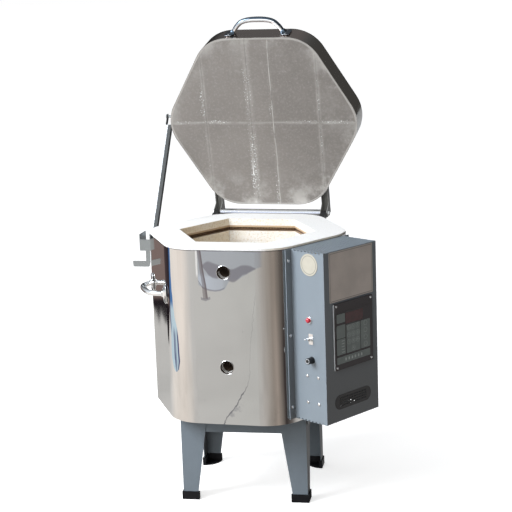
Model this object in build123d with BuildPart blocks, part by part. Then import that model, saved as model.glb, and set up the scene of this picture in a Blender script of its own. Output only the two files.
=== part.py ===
from build123d import *
import os
from math import cos, radians, sin, sqrt, tan

os.makedirs("parts", exist_ok=True)

# Millimetres. The origin is on the floor, under the axis of the kiln. +Z is up, -Y is the front.
# The lid is drawn where it stands open, because that is how the kiln is kept and loaded.

# Body
RIM_TOP = 863
JACKET_TOP = 857
BODY_BOTTOM = 296
BODY_APOTHEM = 300
BODY_CORNER = 127.5
JACKET_SHEET = 1
CHAMBER_SIDE = 230
BRICK_THICK = 76
COURSE_HIGH = 76
COURSES = 6
JOINT = 0.5
FLOOR_THICK = 76
CHAMBER_APOTHEM = CHAMBER_SIDE * cos(radians(30))
BRICK_APOTHEM = CHAMBER_APOTHEM + BRICK_THICK
CHAMBER_FLOOR = RIM_TOP - COURSES * COURSE_HIGH

# Heating elements, one row in each course
GROOVE_HIGH = 13
GROOVE_DEEP = 16
GROOVE_BELOW_TOP = 29
COIL_RADIUS = 5
TAIL_RADIUS = 2.4
TAIL_SPREAD = 28
TAIL_END = 342
TUBE_RADIUS = 6
TUBE_END = 318
ROWS = [RIM_TOP - GROOVE_BELOW_TOP - GROOVE_HIGH / 2 - COURSE_HIGH * n for n in range(COURSES)]

# Peepholes, each on the joint between two courses
PEEPHOLE_HEIGHTS = [RIM_TOP - COURSE_HIGH, RIM_TOP - 5 * COURSE_HIGH]
PEEPHOLE_INNER = 12.5
PEEPHOLE_OUTER = 20
PEEPHOLE_RIM = 23
THERMOCOUPLE_HIGH = RIM_TOP - 3 * COURSE_HIGH

# Stand. It isn't fixed to the body, and it stands a little turned under it.
STAND_TURN = 4.2
STAND_HALF_X = 206
STAND_HALF_Y = 188
LEG_TOP_WIDTH = 90
LEG_FOOT_WIDTH = 50
LEG_SHEET = 2.5
RAIL_HIGH = 64
RAIL_SHEET = 2
RAIL_FLANGE = 25
FOOT_HIGH = 27
FOOT_WALL = 4
FOOT_FLOOR = 4

# Lid, in its closed place, and how far it stands open
LID_THICK = 98
LID_GAP = 0.3
LID_APOTHEM = 299
LID_CORNER = 126.5
LID_BACK = 3
LID_BRICK = 76
LID_SHEET = 1
LID_ANGLE = 77
HINGE_Y = 332
HINGE_Z = 860
HINGE_ROD_RADIUS = 5
HINGE_TUBE_RADIUS = 13
RUNNING_GAP = 0.05
ARM_X = 190
ARM_WIDE = 25
ARM_SHEET = 2
ARM_DEEP = 24
ARM_EAR_RADIUS = 14
ARM_RISE = 50
BRACKET_WIDE = 19
BRACKET_SHEET = 3
BRACKET_BARREL = 9
LID_BRICK_LINES = (-197, -39, 39, 198)

# Lid stay, on the left
STAY_PIVOT_Y = -5
STAY_PIVOT_Z = RIM_TOP + LID_THICK / 2
STAY_LEAN = 33.5
STAY_LONG = 452
STAY_OUT = -350.5
STAY_WIDE = 20.5
STAY_DEEP = 18
STAY_SHEET = 1.8
STAY_BOLT_RADIUS = 4
GUIDE_OUT = -364
GUIDE_FRONT = -20
GUIDE_BACK = 45
GUIDE_TOP = 847
GUIDE_BOTTOM = 792
GUIDE_SHEET = 2
LEVER_PIN_X = -338
LEVER_PIN_Z = 815
LEVER_PIN_RADIUS = 2.5
LEVER_FRONT = -16.5
LEVER_THICK = 3

# Bow handles
BOW_FEET = 97
BOW_LEGS = 85
BOW_HIGH = 50
BOW_RADIUS = 8
BOW_FOOT_WIDE = 31
BOW_FOOT_LONG = 60
BOW_FOOT_THICK = 4
SIDE_HANDLE_Z = 698
SIDE_HANDLE_SHIFT = 1

# Control box, on the front right facet. Its own measures run along the facet, up, and outwards.
BOX_ANGLE = -30
BOX_BACK = 302
BOX_FRONT = 436
BOX_LEFT = -115
BOX_RIGHT = 132
BOX_TOP = 856
BOX_BOTTOM = 312
BOX_SHEET = 1.5
FLANGE_WIDE = 25.5
FLANGE_SCREW_Z = (820, 582, 351)
BADGE_AT = (376.5, 814)
BADGE_RADIUS = 35
LAMP_AT = (372, 640)
SWITCH_AT = (377, 580)
FUSE_AT = (380, 514)
RELAY_SCREWS = ((358, 460), (404, 460), (358, 375), (404, 375))
LABEL_AT = (11, 774.5)
LABEL_SIZE = (204, 157)
PANEL_AT = (12.5, 585)
PANEL_SIZE = (181, 211)
PANEL_SCREWS = (163, 195)
PANEL_THICK = 6
DISPLAY_AT = (15, 638)
DISPLAY_SIZE = (66, 33)
KEYPAD_AT = (10.5, 578)
KEYPAD_SIZE = (161, 166)
VENT_AT = (9, 374)
VENT_SIZE = (171, 47)
SCREW_RADIUS = 2
SCREW_HEAD_RADIUS = 4.5
BOX_HEAD_RADIUS = 5.5
CORNER_OUT = BODY_CORNER + (BODY_APOTHEM - BODY_CORNER) / cos(radians(30))
LID_CORNER_OUT = LID_CORNER + (LID_APOTHEM - LID_CORNER) / cos(radians(30))
GUIDE_SCREWS = (803, 836)
BRACKET_SCREWS = (792, 816)
ARM_SCREWS = (888, 910)
CORNER_SCREW_DEEP = 6


def write(piece, name):
    """Labels a finished piece and writes its file."""
    piece.part.label = name
    export_step(piece.part, f"parts/{name}.step")


def facet(angle, distance):
    """A plane facing outwards at an angle round the kiln: x along it, y up, z outwards."""
    out = Vector(cos(radians(angle)), sin(radians(angle)), 0)
    along = Vector(-sin(radians(angle)), cos(radians(angle)), 0)
    return Plane(origin=out * distance, x_dir=along, z_dir=out)


def on(frame, plane):
    """A plane given in the measures of another frame."""
    return Plane(frame.location * plane.location)


def rounded_hexagon(apothem, corner):
    """The outline of the body or the lid, with its corners on the X axis."""
    with BuildSketch(Plane.XY) as outline:
        RegularPolygon(apothem, 6, major_radius=False)
        fillet(outline.vertices(), corner)
    return outline.sketch


def hexagon(apothem):
    """A sharp hexagon with corners on the X axis."""
    with BuildSketch(Plane.XY) as outline:
        RegularPolygon(apothem, 6, major_radius=False)
    return outline.sketch


def drill(plane, spots, radius, depth):
    """Cuts round holes, as deep each way from the plane, out of the piece being made."""
    with BuildSketch(plane) as holes:
        with Locations(*spots):
            Circle(radius)
    extrude(holes.sketch, amount=depth, both=True, mode=Mode.SUBTRACT)


def rods(plane, spots, radius, length):
    """Adds round rods standing on the plane to the piece being made."""
    with BuildSketch(plane) as ends:
        with Locations(*spots):
            Circle(radius)
    extrude(ends.sketch, amount=length)


def corner_hole_sketch(angle, start):
    """The holes for the two screws at a corner of the body, drawn at a distance outwards."""
    with BuildSketch(facet(angle, start)) as holes:
        with Locations(*[(0, height) for height in (GUIDE_SCREWS if angle == 180 else BRACKET_SCREWS)]):
            Circle(SCREW_RADIUS + 0.1)
    return holes.sketch


def jacket_at(x):
    """How far out the jacket is, at a distance along one of its facets from the middle."""
    past_flat = max(0, abs(x) - (BODY_APOTHEM - BODY_CORNER) * tan(radians(30)))
    return BODY_APOTHEM - BODY_CORNER + sqrt(BODY_CORNER**2 - past_flat**2)


def cut_peepholes():
    """Cuts both tapered peepholes through the wall being made."""
    for height in PEEPHOLE_HEIGHTS:
        taper = BODY_APOTHEM - 10 - CHAMBER_APOTHEM + 2
        with Locations(on(facet(-90, CHAMBER_APOTHEM - 2 + taper / 2), Plane((0, height, 0))).location):
            Cone(PEEPHOLE_INNER, PEEPHOLE_OUTER, taper, mode=Mode.SUBTRACT)
        drill(facet(-90, BODY_APOTHEM), [(0, height)], PEEPHOLE_OUTER + 1.2, 11)


def cut_wall_fittings(radius):
    """Cuts the holes for the element tubes and the thermocouple through the wall being made."""
    spots = [(side * TAIL_SPREAD, row) for side in (-1, 1) for row in ROWS]
    drill(facet(BOX_ANGLE, 255), spots, radius, 50)
    drill(facet(BOX_ANGLE, 255), [(0, THERMOCOUPLE_HIGH)], radius, 60)


BOX = facet(BOX_ANGLE, 0)
BOX_SIDE = facet(BOX_ANGLE - 90, -BOX_LEFT)
BOX_PLAN = Plane(origin=(0, 0, 0), x_dir=BOX.z_dir, z_dir=(0, 0, 1))
STAND = Plane.XY.rotated((0, 0, STAND_TURN))
TILT_Y = cos(radians(LID_ANGLE))
TILT_Z = sin(radians(LID_ANGLE))
LID = Plane(
    origin=(0, HINGE_Y - HINGE_Y * TILT_Y - HINGE_Z * TILT_Z, HINGE_Z + HINGE_Y * TILT_Z - HINGE_Z * TILT_Y),
    x_dir=(1, 0, 0),
    z_dir=(0, TILT_Z, TILT_Y),
)
STAY_PIVOT = LID.from_local_coords(Vector(0, STAY_PIVOT_Y, STAY_PIVOT_Z))
STAY = Plane(
    origin=STAY_PIVOT,
    x_dir=(1, 0, 0),
    z_dir=(0, sin(radians(STAY_LEAN)), cos(radians(STAY_LEAN))),
)
CORNERS = {"front_left": (-1, -1), "front_right": (1, -1), "rear_left": (-1, 1), "rear_right": (1, 1)}
BOLT_Y = (STAND_HALF_Y - 22, STAND_HALF_Y - 60)
BOLT_Z = BODY_BOTTOM - RAIL_HIGH / 2

# Stand: four folded legs, the rails between them, and the black shoes
for corner, (side, end) in CORNERS.items():
    with BuildPart() as leg:
        front = Plane(origin=(side * STAND_HALF_X, end * STAND_HALF_Y, 0), x_dir=(-side, 0, 0), z_dir=(0, side, 0))
        with BuildSketch(on(STAND, front)):
            Polygon(
                (0, FOOT_FLOOR),
                (LEG_FOOT_WIDTH, FOOT_FLOOR),
                (LEG_FOOT_WIDTH, FOOT_HIGH),
                (LEG_TOP_WIDTH, BODY_BOTTOM),
                (0, BODY_BOTTOM),
                align=None,
            )
        extrude(amount=-side * end * LEG_SHEET)
        flank = Plane(origin=(side * STAND_HALF_X, end * STAND_HALF_Y, 0), x_dir=(0, -end, 0), z_dir=(-end, 0, 0))
        with BuildSketch(on(STAND, flank)):
            Polygon(
                (0, FOOT_FLOOR),
                (LEG_FOOT_WIDTH, FOOT_FLOOR),
                (LEG_FOOT_WIDTH, FOOT_HIGH),
                (LEG_TOP_WIDTH, BODY_BOTTOM),
                (0, BODY_BOTTOM),
                align=None,
            )
        extrude(amount=side * end * LEG_SHEET)
        drill(on(STAND, Plane.YZ.offset(side * STAND_HALF_X)), [(end * y, BOLT_Z) for y in BOLT_Y], 3.2, 5)
    write(leg, f"leg_{corner}")

with BuildPart() as stand_rails:
    rail_x = STAND_HALF_X - LEG_SHEET
    rail_y = STAND_HALF_Y - LEG_SHEET
    for end in (-1, 1):
        with BuildSketch(on(STAND, Plane.XY.offset(BODY_BOTTOM - RAIL_HIGH))) as web:
            with Locations((0, end * (rail_y - RAIL_SHEET / 2))):
                Rectangle(2 * rail_x, RAIL_SHEET)
        extrude(amount=RAIL_HIGH)
        with BuildSketch(on(STAND, Plane.XY.offset(BODY_BOTTOM - RAIL_SHEET))) as flange:
            with Locations((0, end * (rail_y - RAIL_FLANGE / 2))):
                Rectangle(2 * rail_x, RAIL_FLANGE)
        extrude(amount=RAIL_SHEET)
    side_long = 2 * (rail_y - RAIL_SHEET) - 0.4
    for side in (-1, 1):
        with BuildSketch(on(STAND, Plane.XY.offset(BODY_BOTTOM - RAIL_HIGH))) as web:
            with Locations((side * (rail_x - RAIL_SHEET / 2), 0)):
                Rectangle(RAIL_SHEET, side_long)
        extrude(amount=RAIL_HIGH - RAIL_SHEET - 0.2)
        with BuildSketch(on(STAND, Plane.XY.offset(BODY_BOTTOM - 2 * RAIL_SHEET - 0.2))) as flange:
            with Locations((side * (rail_x - RAIL_FLANGE / 2), 0)):
                Rectangle(RAIL_FLANGE, side_long)
        extrude(amount=RAIL_SHEET)
        spots = [(end * y, BOLT_Z) for end in (-1, 1) for y in BOLT_Y]
        drill(on(STAND, Plane.YZ.offset(side * rail_x)), spots, 3.2, 5)
write(stand_rails, "stand_rails")

with BuildPart() as stand_bolts:
    for side in (-1, 1):
        spots = [(end * y, BOLT_Z) for end in (-1, 1) for y in BOLT_Y]
        outside = Plane(origin=(side * STAND_HALF_X, 0, 0), x_dir=(0, side, 0), z_dir=(side, 0, 0))
        with BuildSketch(on(STAND, outside)) as heads:
            with Locations(*[(side * y, z) for y, z in spots]):
                RegularPolygon(5, 6, major_radius=False)
        extrude(amount=4)
        with BuildSketch(on(STAND, outside.offset(-12))) as shanks:
            with Locations(*[(side * y, z) for y, z in spots]):
                Circle(3)
        extrude(amount=12)
        with BuildSketch(on(STAND, outside.offset(-LEG_SHEET - RAIL_SHEET - 5))) as nuts:
            with Locations(*[(side * y, z) for y, z in spots]):
                RegularPolygon(5, 6, major_radius=False)
        extrude(amount=5)
write(stand_bolts, "stand_bolts")

with BuildPart() as foot_caps:
    foot_out = LEG_FOOT_WIDTH + 2 * FOOT_WALL
    for side, end in CORNERS.values():
        corner_x = side * (STAND_HALF_X + FOOT_WALL)
        corner_y = end * (STAND_HALF_Y + FOOT_WALL)
        with BuildSketch(on(STAND, Plane.XY)):
            with Locations((corner_x, corner_y)):
                Circle(foot_out)
            with Locations((corner_x - side * foot_out / 2, corner_y - end * foot_out / 2)):
                Rectangle(foot_out, foot_out, mode=Mode.INTERSECT)
        extrude(amount=FOOT_FLOOR)
        shoe = 2 * FOOT_WALL + LEG_SHEET
        with BuildSketch(on(STAND, Plane.XY.offset(FOOT_FLOOR))):
            with Locations((corner_x - side * foot_out / 2, corner_y - end * shoe / 2)):
                Rectangle(foot_out, shoe)
            with Locations((corner_x - side * shoe / 2, corner_y - end * foot_out / 2)):
                Rectangle(shoe, foot_out)
            slot = LEG_FOOT_WIDTH + 0.2
            slot_x = side * (STAND_HALF_X + 0.1)
            slot_y = end * (STAND_HALF_Y + 0.1)
            with Locations((slot_x - side * slot / 2, slot_y - end * (LEG_SHEET + 0.2) / 2)):
                Rectangle(slot, LEG_SHEET + 0.2, mode=Mode.SUBTRACT)
            with Locations((slot_x - side * (LEG_SHEET + 0.2) / 2, slot_y - end * slot / 2)):
                Rectangle(LEG_SHEET + 0.2, slot, mode=Mode.SUBTRACT)
        extrude(amount=FOOT_HIGH - FOOT_FLOOR)
write(foot_caps, "foot_caps")

# Base: pan, insulating board, and the floor laid of bricks
PAN_SHEET = 1.2
with BuildPart() as base_pan:
    with BuildSketch(Plane.XY.offset(BODY_BOTTOM)):
        add(rounded_hexagon(BODY_APOTHEM - 1.1, BODY_CORNER - 1.1))
    extrude(amount=25)
    with BuildSketch(Plane.XY.offset(BODY_BOTTOM + PAN_SHEET)):
        add(rounded_hexagon(BODY_APOTHEM - 1.1 - PAN_SHEET, BODY_CORNER - 1.1 - PAN_SHEET))
    extrude(amount=25, mode=Mode.SUBTRACT)
write(base_pan, "base_pan")

FLOOR_BOTTOM = CHAMBER_FLOOR - FLOOR_THICK
with BuildPart() as base_board:
    with BuildSketch(Plane.XY.offset(BODY_BOTTOM + PAN_SHEET)):
        add(rounded_hexagon(BODY_APOTHEM - 2.6, BODY_CORNER - 2.6))
    extrude(amount=FLOOR_BOTTOM - BODY_BOTTOM - PAN_SHEET)
write(base_board, "base_board")


def slab_of_bricks(frame, bottom, apothem, corner, thick, back):
    """A flat slab of two rows of five bricks, cut to the outline."""
    edges = (-apothem * 1.2, *LID_BRICK_LINES, apothem * 1.2)
    with BuildPart() as slab:
        with BuildSketch(on(frame, Plane.XY.offset(bottom))):
            for left, right in zip(edges, edges[1:]):
                for row in (-1, 1):
                    with Locations(((left + right) / 2, back + row * (apothem + JOINT) / 2)):
                        Rectangle(right - left - JOINT, apothem)
            add(Pos(0, back) * rounded_hexagon(apothem, corner), mode=Mode.INTERSECT)
        extrude(amount=thick)
    return slab


write(
    slab_of_bricks(Plane.XY, FLOOR_BOTTOM, BODY_APOTHEM - 1.4, BODY_CORNER - 1.4, FLOOR_THICK, 0),
    "floor_bricks",
)

# Walls: six mitred bricks in each course. The top course reaches out to the jacket and is the rim.
with BuildPart() as wall_bricks:
    for course in range(1, COURSES):
        top = RIM_TOP - COURSE_HIGH * course - JOINT
        low = top - COURSE_HIGH + JOINT
        half_in = CHAMBER_APOTHEM * tan(radians(30)) - JOINT / 2
        half_out = BRICK_APOTHEM * tan(radians(30)) - JOINT / 2
        with BuildSketch(Plane.XY.offset(low)):
            with PolarLocations(0, 6, start_angle=30):
                Polygon(
                    (CHAMBER_APOTHEM, -half_in),
                    (BRICK_APOTHEM, -half_out),
                    (BRICK_APOTHEM, half_out),
                    (CHAMBER_APOTHEM, half_in),
                    align=None,
                )
        extrude(amount=top - low)
        with BuildSketch(Plane.XY.offset(ROWS[course] - GROOVE_HIGH / 2)):
            add(hexagon(CHAMBER_APOTHEM + GROOVE_DEEP))
        extrude(amount=GROOVE_HIGH, mode=Mode.SUBTRACT)
    cut_peepholes()
    cut_wall_fittings(TUBE_RADIUS + 0.3)
write(wall_bricks, "wall_bricks")

with BuildPart() as rim_bricks:
    rim_out = BODY_APOTHEM + 60
    with BuildSketch(Plane.XY.offset(RIM_TOP - COURSE_HIGH)):
        with PolarLocations(0, 6, start_angle=30):
            Polygon(
                (CHAMBER_APOTHEM, -CHAMBER_APOTHEM * tan(radians(30)) + JOINT / 2),
                (rim_out, -rim_out * tan(radians(30)) + JOINT / 2),
                (rim_out, rim_out * tan(radians(30)) - JOINT / 2),
                (CHAMBER_APOTHEM, CHAMBER_APOTHEM * tan(radians(30)) - JOINT / 2),
                align=None,
            )
        add(rounded_hexagon(BODY_APOTHEM - 1.2, BODY_CORNER - 1.2), mode=Mode.INTERSECT)
    extrude(amount=COURSE_HIGH)
    with BuildSketch(Plane.XY.offset(ROWS[0] - GROOVE_HIGH / 2)):
        add(hexagon(CHAMBER_APOTHEM + GROOVE_DEEP))
    extrude(amount=GROOVE_HIGH, mode=Mode.SUBTRACT)
    cut_peepholes()
    cut_wall_fittings(TUBE_RADIUS + 0.3)
    for angle in (60, 120, 180):
        extrude(corner_hole_sketch(angle, CORNER_OUT - CORNER_SCREW_DEEP - 1), amount=20, mode=Mode.SUBTRACT)
write(rim_bricks, "rim_bricks")

# Blanket: one pad behind each side, butted at the corners
with BuildPart() as insulation_blanket:
    with BuildSketch(Plane.XY.offset(CHAMBER_FLOOR)):
        add(rounded_hexagon(BODY_APOTHEM - 1.4, BODY_CORNER - 1.4))
        add(hexagon(BRICK_APOTHEM + 0.3), mode=Mode.SUBTRACT)
        for angle in (0, 60, 120):
            Rectangle(3 * BODY_APOTHEM, JOINT, rotation=angle, mode=Mode.SUBTRACT)
    extrude(amount=RIM_TOP - COURSE_HIGH - JOINT - CHAMBER_FLOOR)
    cut_peepholes()
    cut_wall_fittings(TUBE_RADIUS + 0.3)
write(insulation_blanket, "insulation_blanket")

# Screws that hold the handles, the stay guide and the hinge brackets to the jacket
FOOT_SCREW = 20
HANDLE_ANGLES = {"left": -150, "right": 30}


def handle_screw_spots(shift, height):
    """Where the two screws of each foot of a bow handle go, along it and across it."""
    return [(shift + side * BOW_FEET, height + up) for side in (-1, 1) for up in (-FOOT_SCREW, FOOT_SCREW)]


SIDE_HANDLE_SPOTS = handle_screw_spots(SIDE_HANDLE_SHIFT, SIDE_HANDLE_Z)

with BuildPart() as jacket:
    with BuildSketch(Plane.XY.offset(BODY_BOTTOM)):
        add(rounded_hexagon(BODY_APOTHEM, BODY_CORNER))
        add(rounded_hexagon(BODY_APOTHEM - JACKET_SHEET, BODY_CORNER - JACKET_SHEET), mode=Mode.SUBTRACT)
    extrude(amount=JACKET_TOP - BODY_BOTTOM)
    seam = facet(150, BODY_APOTHEM)
    with BuildSketch(seam):
        with Locations((-14, (JACKET_TOP + BODY_BOTTOM) / 2)):
            Rectangle(1, JACKET_TOP - BODY_BOTTOM)
    extrude(amount=4, both=True, mode=Mode.SUBTRACT)
    with BuildSketch(seam):
        with Locations((0, (JACKET_TOP + BODY_BOTTOM) / 2)):
            Rectangle(40, JACKET_TOP - BODY_BOTTOM)
    extrude(amount=JACKET_SHEET)
    drill(facet(-90, BODY_APOTHEM), [(0, height) for height in PEEPHOLE_HEIGHTS], PEEPHOLE_OUTER + 1.2, 5)
    tube_spots = [(side * TAIL_SPREAD, row) for side in (-1, 1) for row in ROWS]
    drill(facet(BOX_ANGLE, BODY_APOTHEM), [*tube_spots, (0, THERMOCOUPLE_HIGH)], TUBE_RADIUS + 1, 5)
    flange_spots = [
        (x, z) for x in (BOX_LEFT - FLANGE_WIDE / 2, BOX_RIGHT + FLANGE_WIDE / 2) for z in FLANGE_SCREW_Z
    ]
    drill(facet(BOX_ANGLE, BODY_APOTHEM - 5), flange_spots, SCREW_RADIUS + 0.2, 12)
    for angle in HANDLE_ANGLES.values():
        drill(facet(angle, BODY_APOTHEM), SIDE_HANDLE_SPOTS, SCREW_RADIUS + 0.2, 8)
    for angle in (60, 120, 180):
        extrude(corner_hole_sketch(angle, CORNER_OUT), amount=8, both=True, mode=Mode.SUBTRACT)
write(jacket, "jacket")

# Heating elements: a rod the size of the coil in each groove, with straight tails out to the box
ELEMENT_APOTHEM = CHAMBER_APOTHEM + GROOVE_DEEP - COIL_RADIUS - 1
element_corner = ELEMENT_APOTHEM / cos(radians(30))
with BuildPart() as heating_elements:
    for row in ROWS:
        start = facet(BOX_ANGLE, ELEMENT_APOTHEM).from_local_coords(Vector(TAIL_SPREAD, row, 0))
        finish = facet(BOX_ANGLE, ELEMENT_APOTHEM).from_local_coords(Vector(-TAIL_SPREAD, row, 0))
        turns = [
            Vector(element_corner * cos(radians(60 * n)), element_corner * sin(radians(60 * n)), row)
            for n in range(6)
        ]
        with BuildLine() as route:
            FilletPolyline(start, *turns, finish, radius=14)
        with BuildSketch(Plane(origin=start, z_dir=route.line % 0)) as section:
            Circle(COIL_RADIUS)
        sweep(section.sketch, path=route.line)
        rods(
            facet(BOX_ANGLE, ELEMENT_APOTHEM),
            [(side * TAIL_SPREAD, row) for side in (-1, 1)],
            TAIL_RADIUS,
            TAIL_END - ELEMENT_APOTHEM,
        )
write(heating_elements, "heating_elements")

with BuildPart() as element_tubes:
    rods(facet(BOX_ANGLE, CHAMBER_APOTHEM + GROOVE_DEEP + 1), tube_spots, TUBE_RADIUS, TUBE_END - 216.5)
    drill(facet(BOX_ANGLE, 260), tube_spots, TAIL_RADIUS + 0.3, 70)
write(element_tubes, "element_tubes")

with BuildPart() as terminal_lugs:
    with BuildSketch(facet(BOX_ANGLE, TUBE_END + 4)) as lug_ends:
        with Locations(*tube_spots):
            RectangleRounded(12, 12, 2)
    extrude(amount=16)
    drill(facet(BOX_ANGLE, TUBE_END + 10), tube_spots, TAIL_RADIUS + 0.05, 30)
write(terminal_lugs, "terminal_lugs")

with BuildPart() as thermocouple:
    rods(facet(BOX_ANGLE, CHAMBER_APOTHEM - 25), [(0, THERMOCOUPLE_HIGH)], 4, 140)
    with BuildSketch(facet(BOX_ANGLE, 314)):
        with Locations((0, THERMOCOUPLE_HIGH)):
            RectangleRounded(34, 26, 4)
    extrude(amount=18)
    fillet(thermocouple.faces().sort_by(Axis(BOX.origin, BOX.z_dir))[0].edges(), 3)
write(thermocouple, "thermocouple")

with BuildPart() as peephole_rings:
    spots = [(0, height) for height in PEEPHOLE_HEIGHTS]
    rods(facet(-90, BODY_APOTHEM), spots, PEEPHOLE_RIM, 1.5)
    rods(facet(-90, BODY_APOTHEM - 9), spots, PEEPHOLE_OUTER + 1, 9)
    drill(facet(-90, BODY_APOTHEM), spots, PEEPHOLE_OUTER, 20)
write(peephole_rings, "peephole_rings")


def bow_handle(plane, shift, height, wall):
    """A cast bow handle lying along the plane's x axis, its two feet hollowed to fit the wall."""
    with BuildPart() as handle:
        foot_plane = on(plane, Plane((shift, height, 0)))
        bow_plane = Plane(origin=foot_plane.origin, x_dir=plane.x_dir, z_dir=-plane.y_dir)
        with BuildLine(bow_plane) as bow:
            FilletPolyline(
                (-BOW_LEGS, 1),
                (-BOW_LEGS + 14, BOW_HIGH),
                (BOW_LEGS - 14, BOW_HIGH),
                (BOW_LEGS, 1),
                radius=34,
            )
        with BuildSketch(Plane(origin=bow.line @ 0, z_dir=bow.line % 0)):
            Circle(BOW_RADIUS)
        sweep(path=bow.line)
        with BuildSketch(foot_plane.offset(-10)):
            with Locations((-BOW_FEET, 0), (BOW_FEET, 0)):
                RectangleRounded(BOW_FOOT_WIDE, BOW_FOOT_LONG, 11)
        extrude(amount=10 + BOW_FOOT_THICK)
        add(wall, mode=Mode.SUBTRACT)
        drill(foot_plane, handle_screw_spots(0, 0), SCREW_RADIUS + 0.1, 20)
    return handle


with BuildPart() as body_space:
    with BuildSketch(Plane.XY.offset(BODY_BOTTOM)):
        add(rounded_hexagon(BODY_APOTHEM + 0.05, BODY_CORNER + 0.05))
    extrude(amount=JACKET_TOP - BODY_BOTTOM + 50)

for side, angle in HANDLE_ANGLES.items():
    side_handle = bow_handle(facet(angle, BODY_APOTHEM), SIDE_HANDLE_SHIFT, SIDE_HANDLE_Z, body_space.part)
    write(side_handle, f"side_handle_{side}")

# Hinge: two folded brackets on the jacket, the rod, and the bright spacer tube between the arms
with BuildPart() as hinge_brackets:
    for side in (-1, 1):
        with BuildSketch(Plane.YZ.offset(side * ARM_X - BRACKET_WIDE / 2)):
            Polygon(
                (200, 778),
                (HINGE_Y + 6, HINGE_Z - 7),
                (HINGE_Y, HINGE_Z + BRACKET_BARREL),
                (200, 838),
                align=None,
            )
        extrude(amount=BRACKET_WIDE)
        with BuildSketch(Plane.YZ.offset(side * ARM_X - BRACKET_WIDE / 2 + BRACKET_SHEET)):
            Polygon(
                (200, 770),
                (HINGE_Y + 6, HINGE_Z - 15),
                (HINGE_Y, HINGE_Z + BRACKET_BARREL - BRACKET_SHEET),
                (200, 838 - BRACKET_SHEET),
                align=None,
            )
        extrude(amount=BRACKET_WIDE - 2 * BRACKET_SHEET, mode=Mode.SUBTRACT)
        with BuildSketch(Plane.YZ.offset(side * ARM_X - BRACKET_WIDE / 2)):
            with Locations((HINGE_Y, HINGE_Z)):
                Circle(BRACKET_BARREL)
        extrude(amount=BRACKET_WIDE)
        with BuildSketch(Plane.XY.offset(780)):
            add(rounded_hexagon(BODY_APOTHEM + BRACKET_SHEET, BODY_CORNER + BRACKET_SHEET))
            with Locations((side * (ARM_X - 15), 262)):
                Rectangle(50, 80, mode=Mode.INTERSECT)
        extrude(amount=48)
    add(body_space.part, mode=Mode.SUBTRACT)
    drill(Plane.YZ, [(HINGE_Y, HINGE_Z)], HINGE_ROD_RADIUS + RUNNING_GAP, ARM_X + 20)
    for angle in (60, 120):
        extrude(corner_hole_sketch(angle, CORNER_OUT), amount=8, mode=Mode.SUBTRACT)
write(hinge_brackets, "hinge_brackets")

ROD_END = ARM_X + ARM_WIDE / 2
with BuildPart() as hinge_rod:
    with BuildSketch(Plane.YZ.offset(-ROD_END - 8)):
        with Locations((HINGE_Y, HINGE_Z)):
            Circle(HINGE_ROD_RADIUS)
    extrude(amount=2 * ROD_END + 16)
    for side in (-1, 1):
        with BuildSketch(Plane.YZ.offset(side * ROD_END)):
            with Locations((HINGE_Y, HINGE_Z)):
                RegularPolygon(8, 6, major_radius=False)
        extrude(amount=side * 6)
write(hinge_rod, "hinge_rod")

TUBE_HALF = ARM_X - ARM_WIDE / 2
with BuildPart() as hinge_tube:
    with BuildSketch(Plane.YZ.offset(-TUBE_HALF)):
        with Locations((HINGE_Y, HINGE_Z)):
            Circle(HINGE_TUBE_RADIUS)
            Circle(HINGE_ROD_RADIUS + RUNNING_GAP, mode=Mode.SUBTRACT)
    extrude(amount=2 * TUBE_HALF)
write(hinge_tube, "hinge_tube")

# Lid, drawn on the plane of the open lid
LID_BOTTOM = RIM_TOP + LID_GAP
LID_TOP = LID_BOTTOM + LID_THICK
SLAB_APOTHEM = LID_APOTHEM - LID_SHEET - 0.2
SLAB_CORNER = LID_CORNER - LID_SHEET - 0.2
lid_slab = slab_of_bricks(LID, LID_BOTTOM, SLAB_APOTHEM, SLAB_CORNER, LID_BRICK, LID_BACK)
pivot_side = on(LID, Plane(origin=(STAY_OUT, 0, 0), x_dir=(0, 1, 0), z_dir=(1, 0, 0)))
with BuildPart() as lid_bricks:
    add(lid_slab.part)
    drill(pivot_side, [(STAY_PIVOT_Y, STAY_PIVOT_Z)], STAY_BOLT_RADIUS + 0.2, 50)
write(lid_bricks, "lid_bricks")

with BuildPart() as lid_board:
    with BuildSketch(on(LID, Plane.XY.offset(LID_BOTTOM + LID_BRICK))):
        add(Pos(0, LID_BACK) * rounded_hexagon(SLAB_APOTHEM, SLAB_CORNER))
    extrude(amount=LID_THICK - LID_BRICK - LID_SHEET)
write(lid_board, "lid_board")

with BuildPart() as lid_top_sheet:
    with BuildSketch(on(LID, Plane.XY.offset(LID_TOP - LID_SHEET))):
        add(Pos(0, LID_BACK) * rounded_hexagon(SLAB_APOTHEM, SLAB_CORNER))
    extrude(amount=LID_SHEET)
write(lid_top_sheet, "lid_top_sheet")

lid_front = on(LID, facet(-90, LID_APOTHEM - LID_BACK))
with BuildPart() as lid_space:
    with BuildSketch(on(LID, Plane.XY.offset(LID_BOTTOM - 50))):
        add(Pos(0, LID_BACK) * rounded_hexagon(LID_APOTHEM + 0.05, LID_CORNER + 0.05))
    extrude(amount=LID_THICK + 100)


def lid_corner_holes(angle, start):
    """The holes for the two screws that hold a hinge arm to a corner of the lid."""
    corner = on(LID, on(Plane((0, LID_BACK, 0)), facet(angle, start)))
    with BuildSketch(corner) as holes:
        with Locations(*[(0, height) for height in ARM_SCREWS]):
            Circle(SCREW_RADIUS + 0.1)
    return holes.sketch


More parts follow.
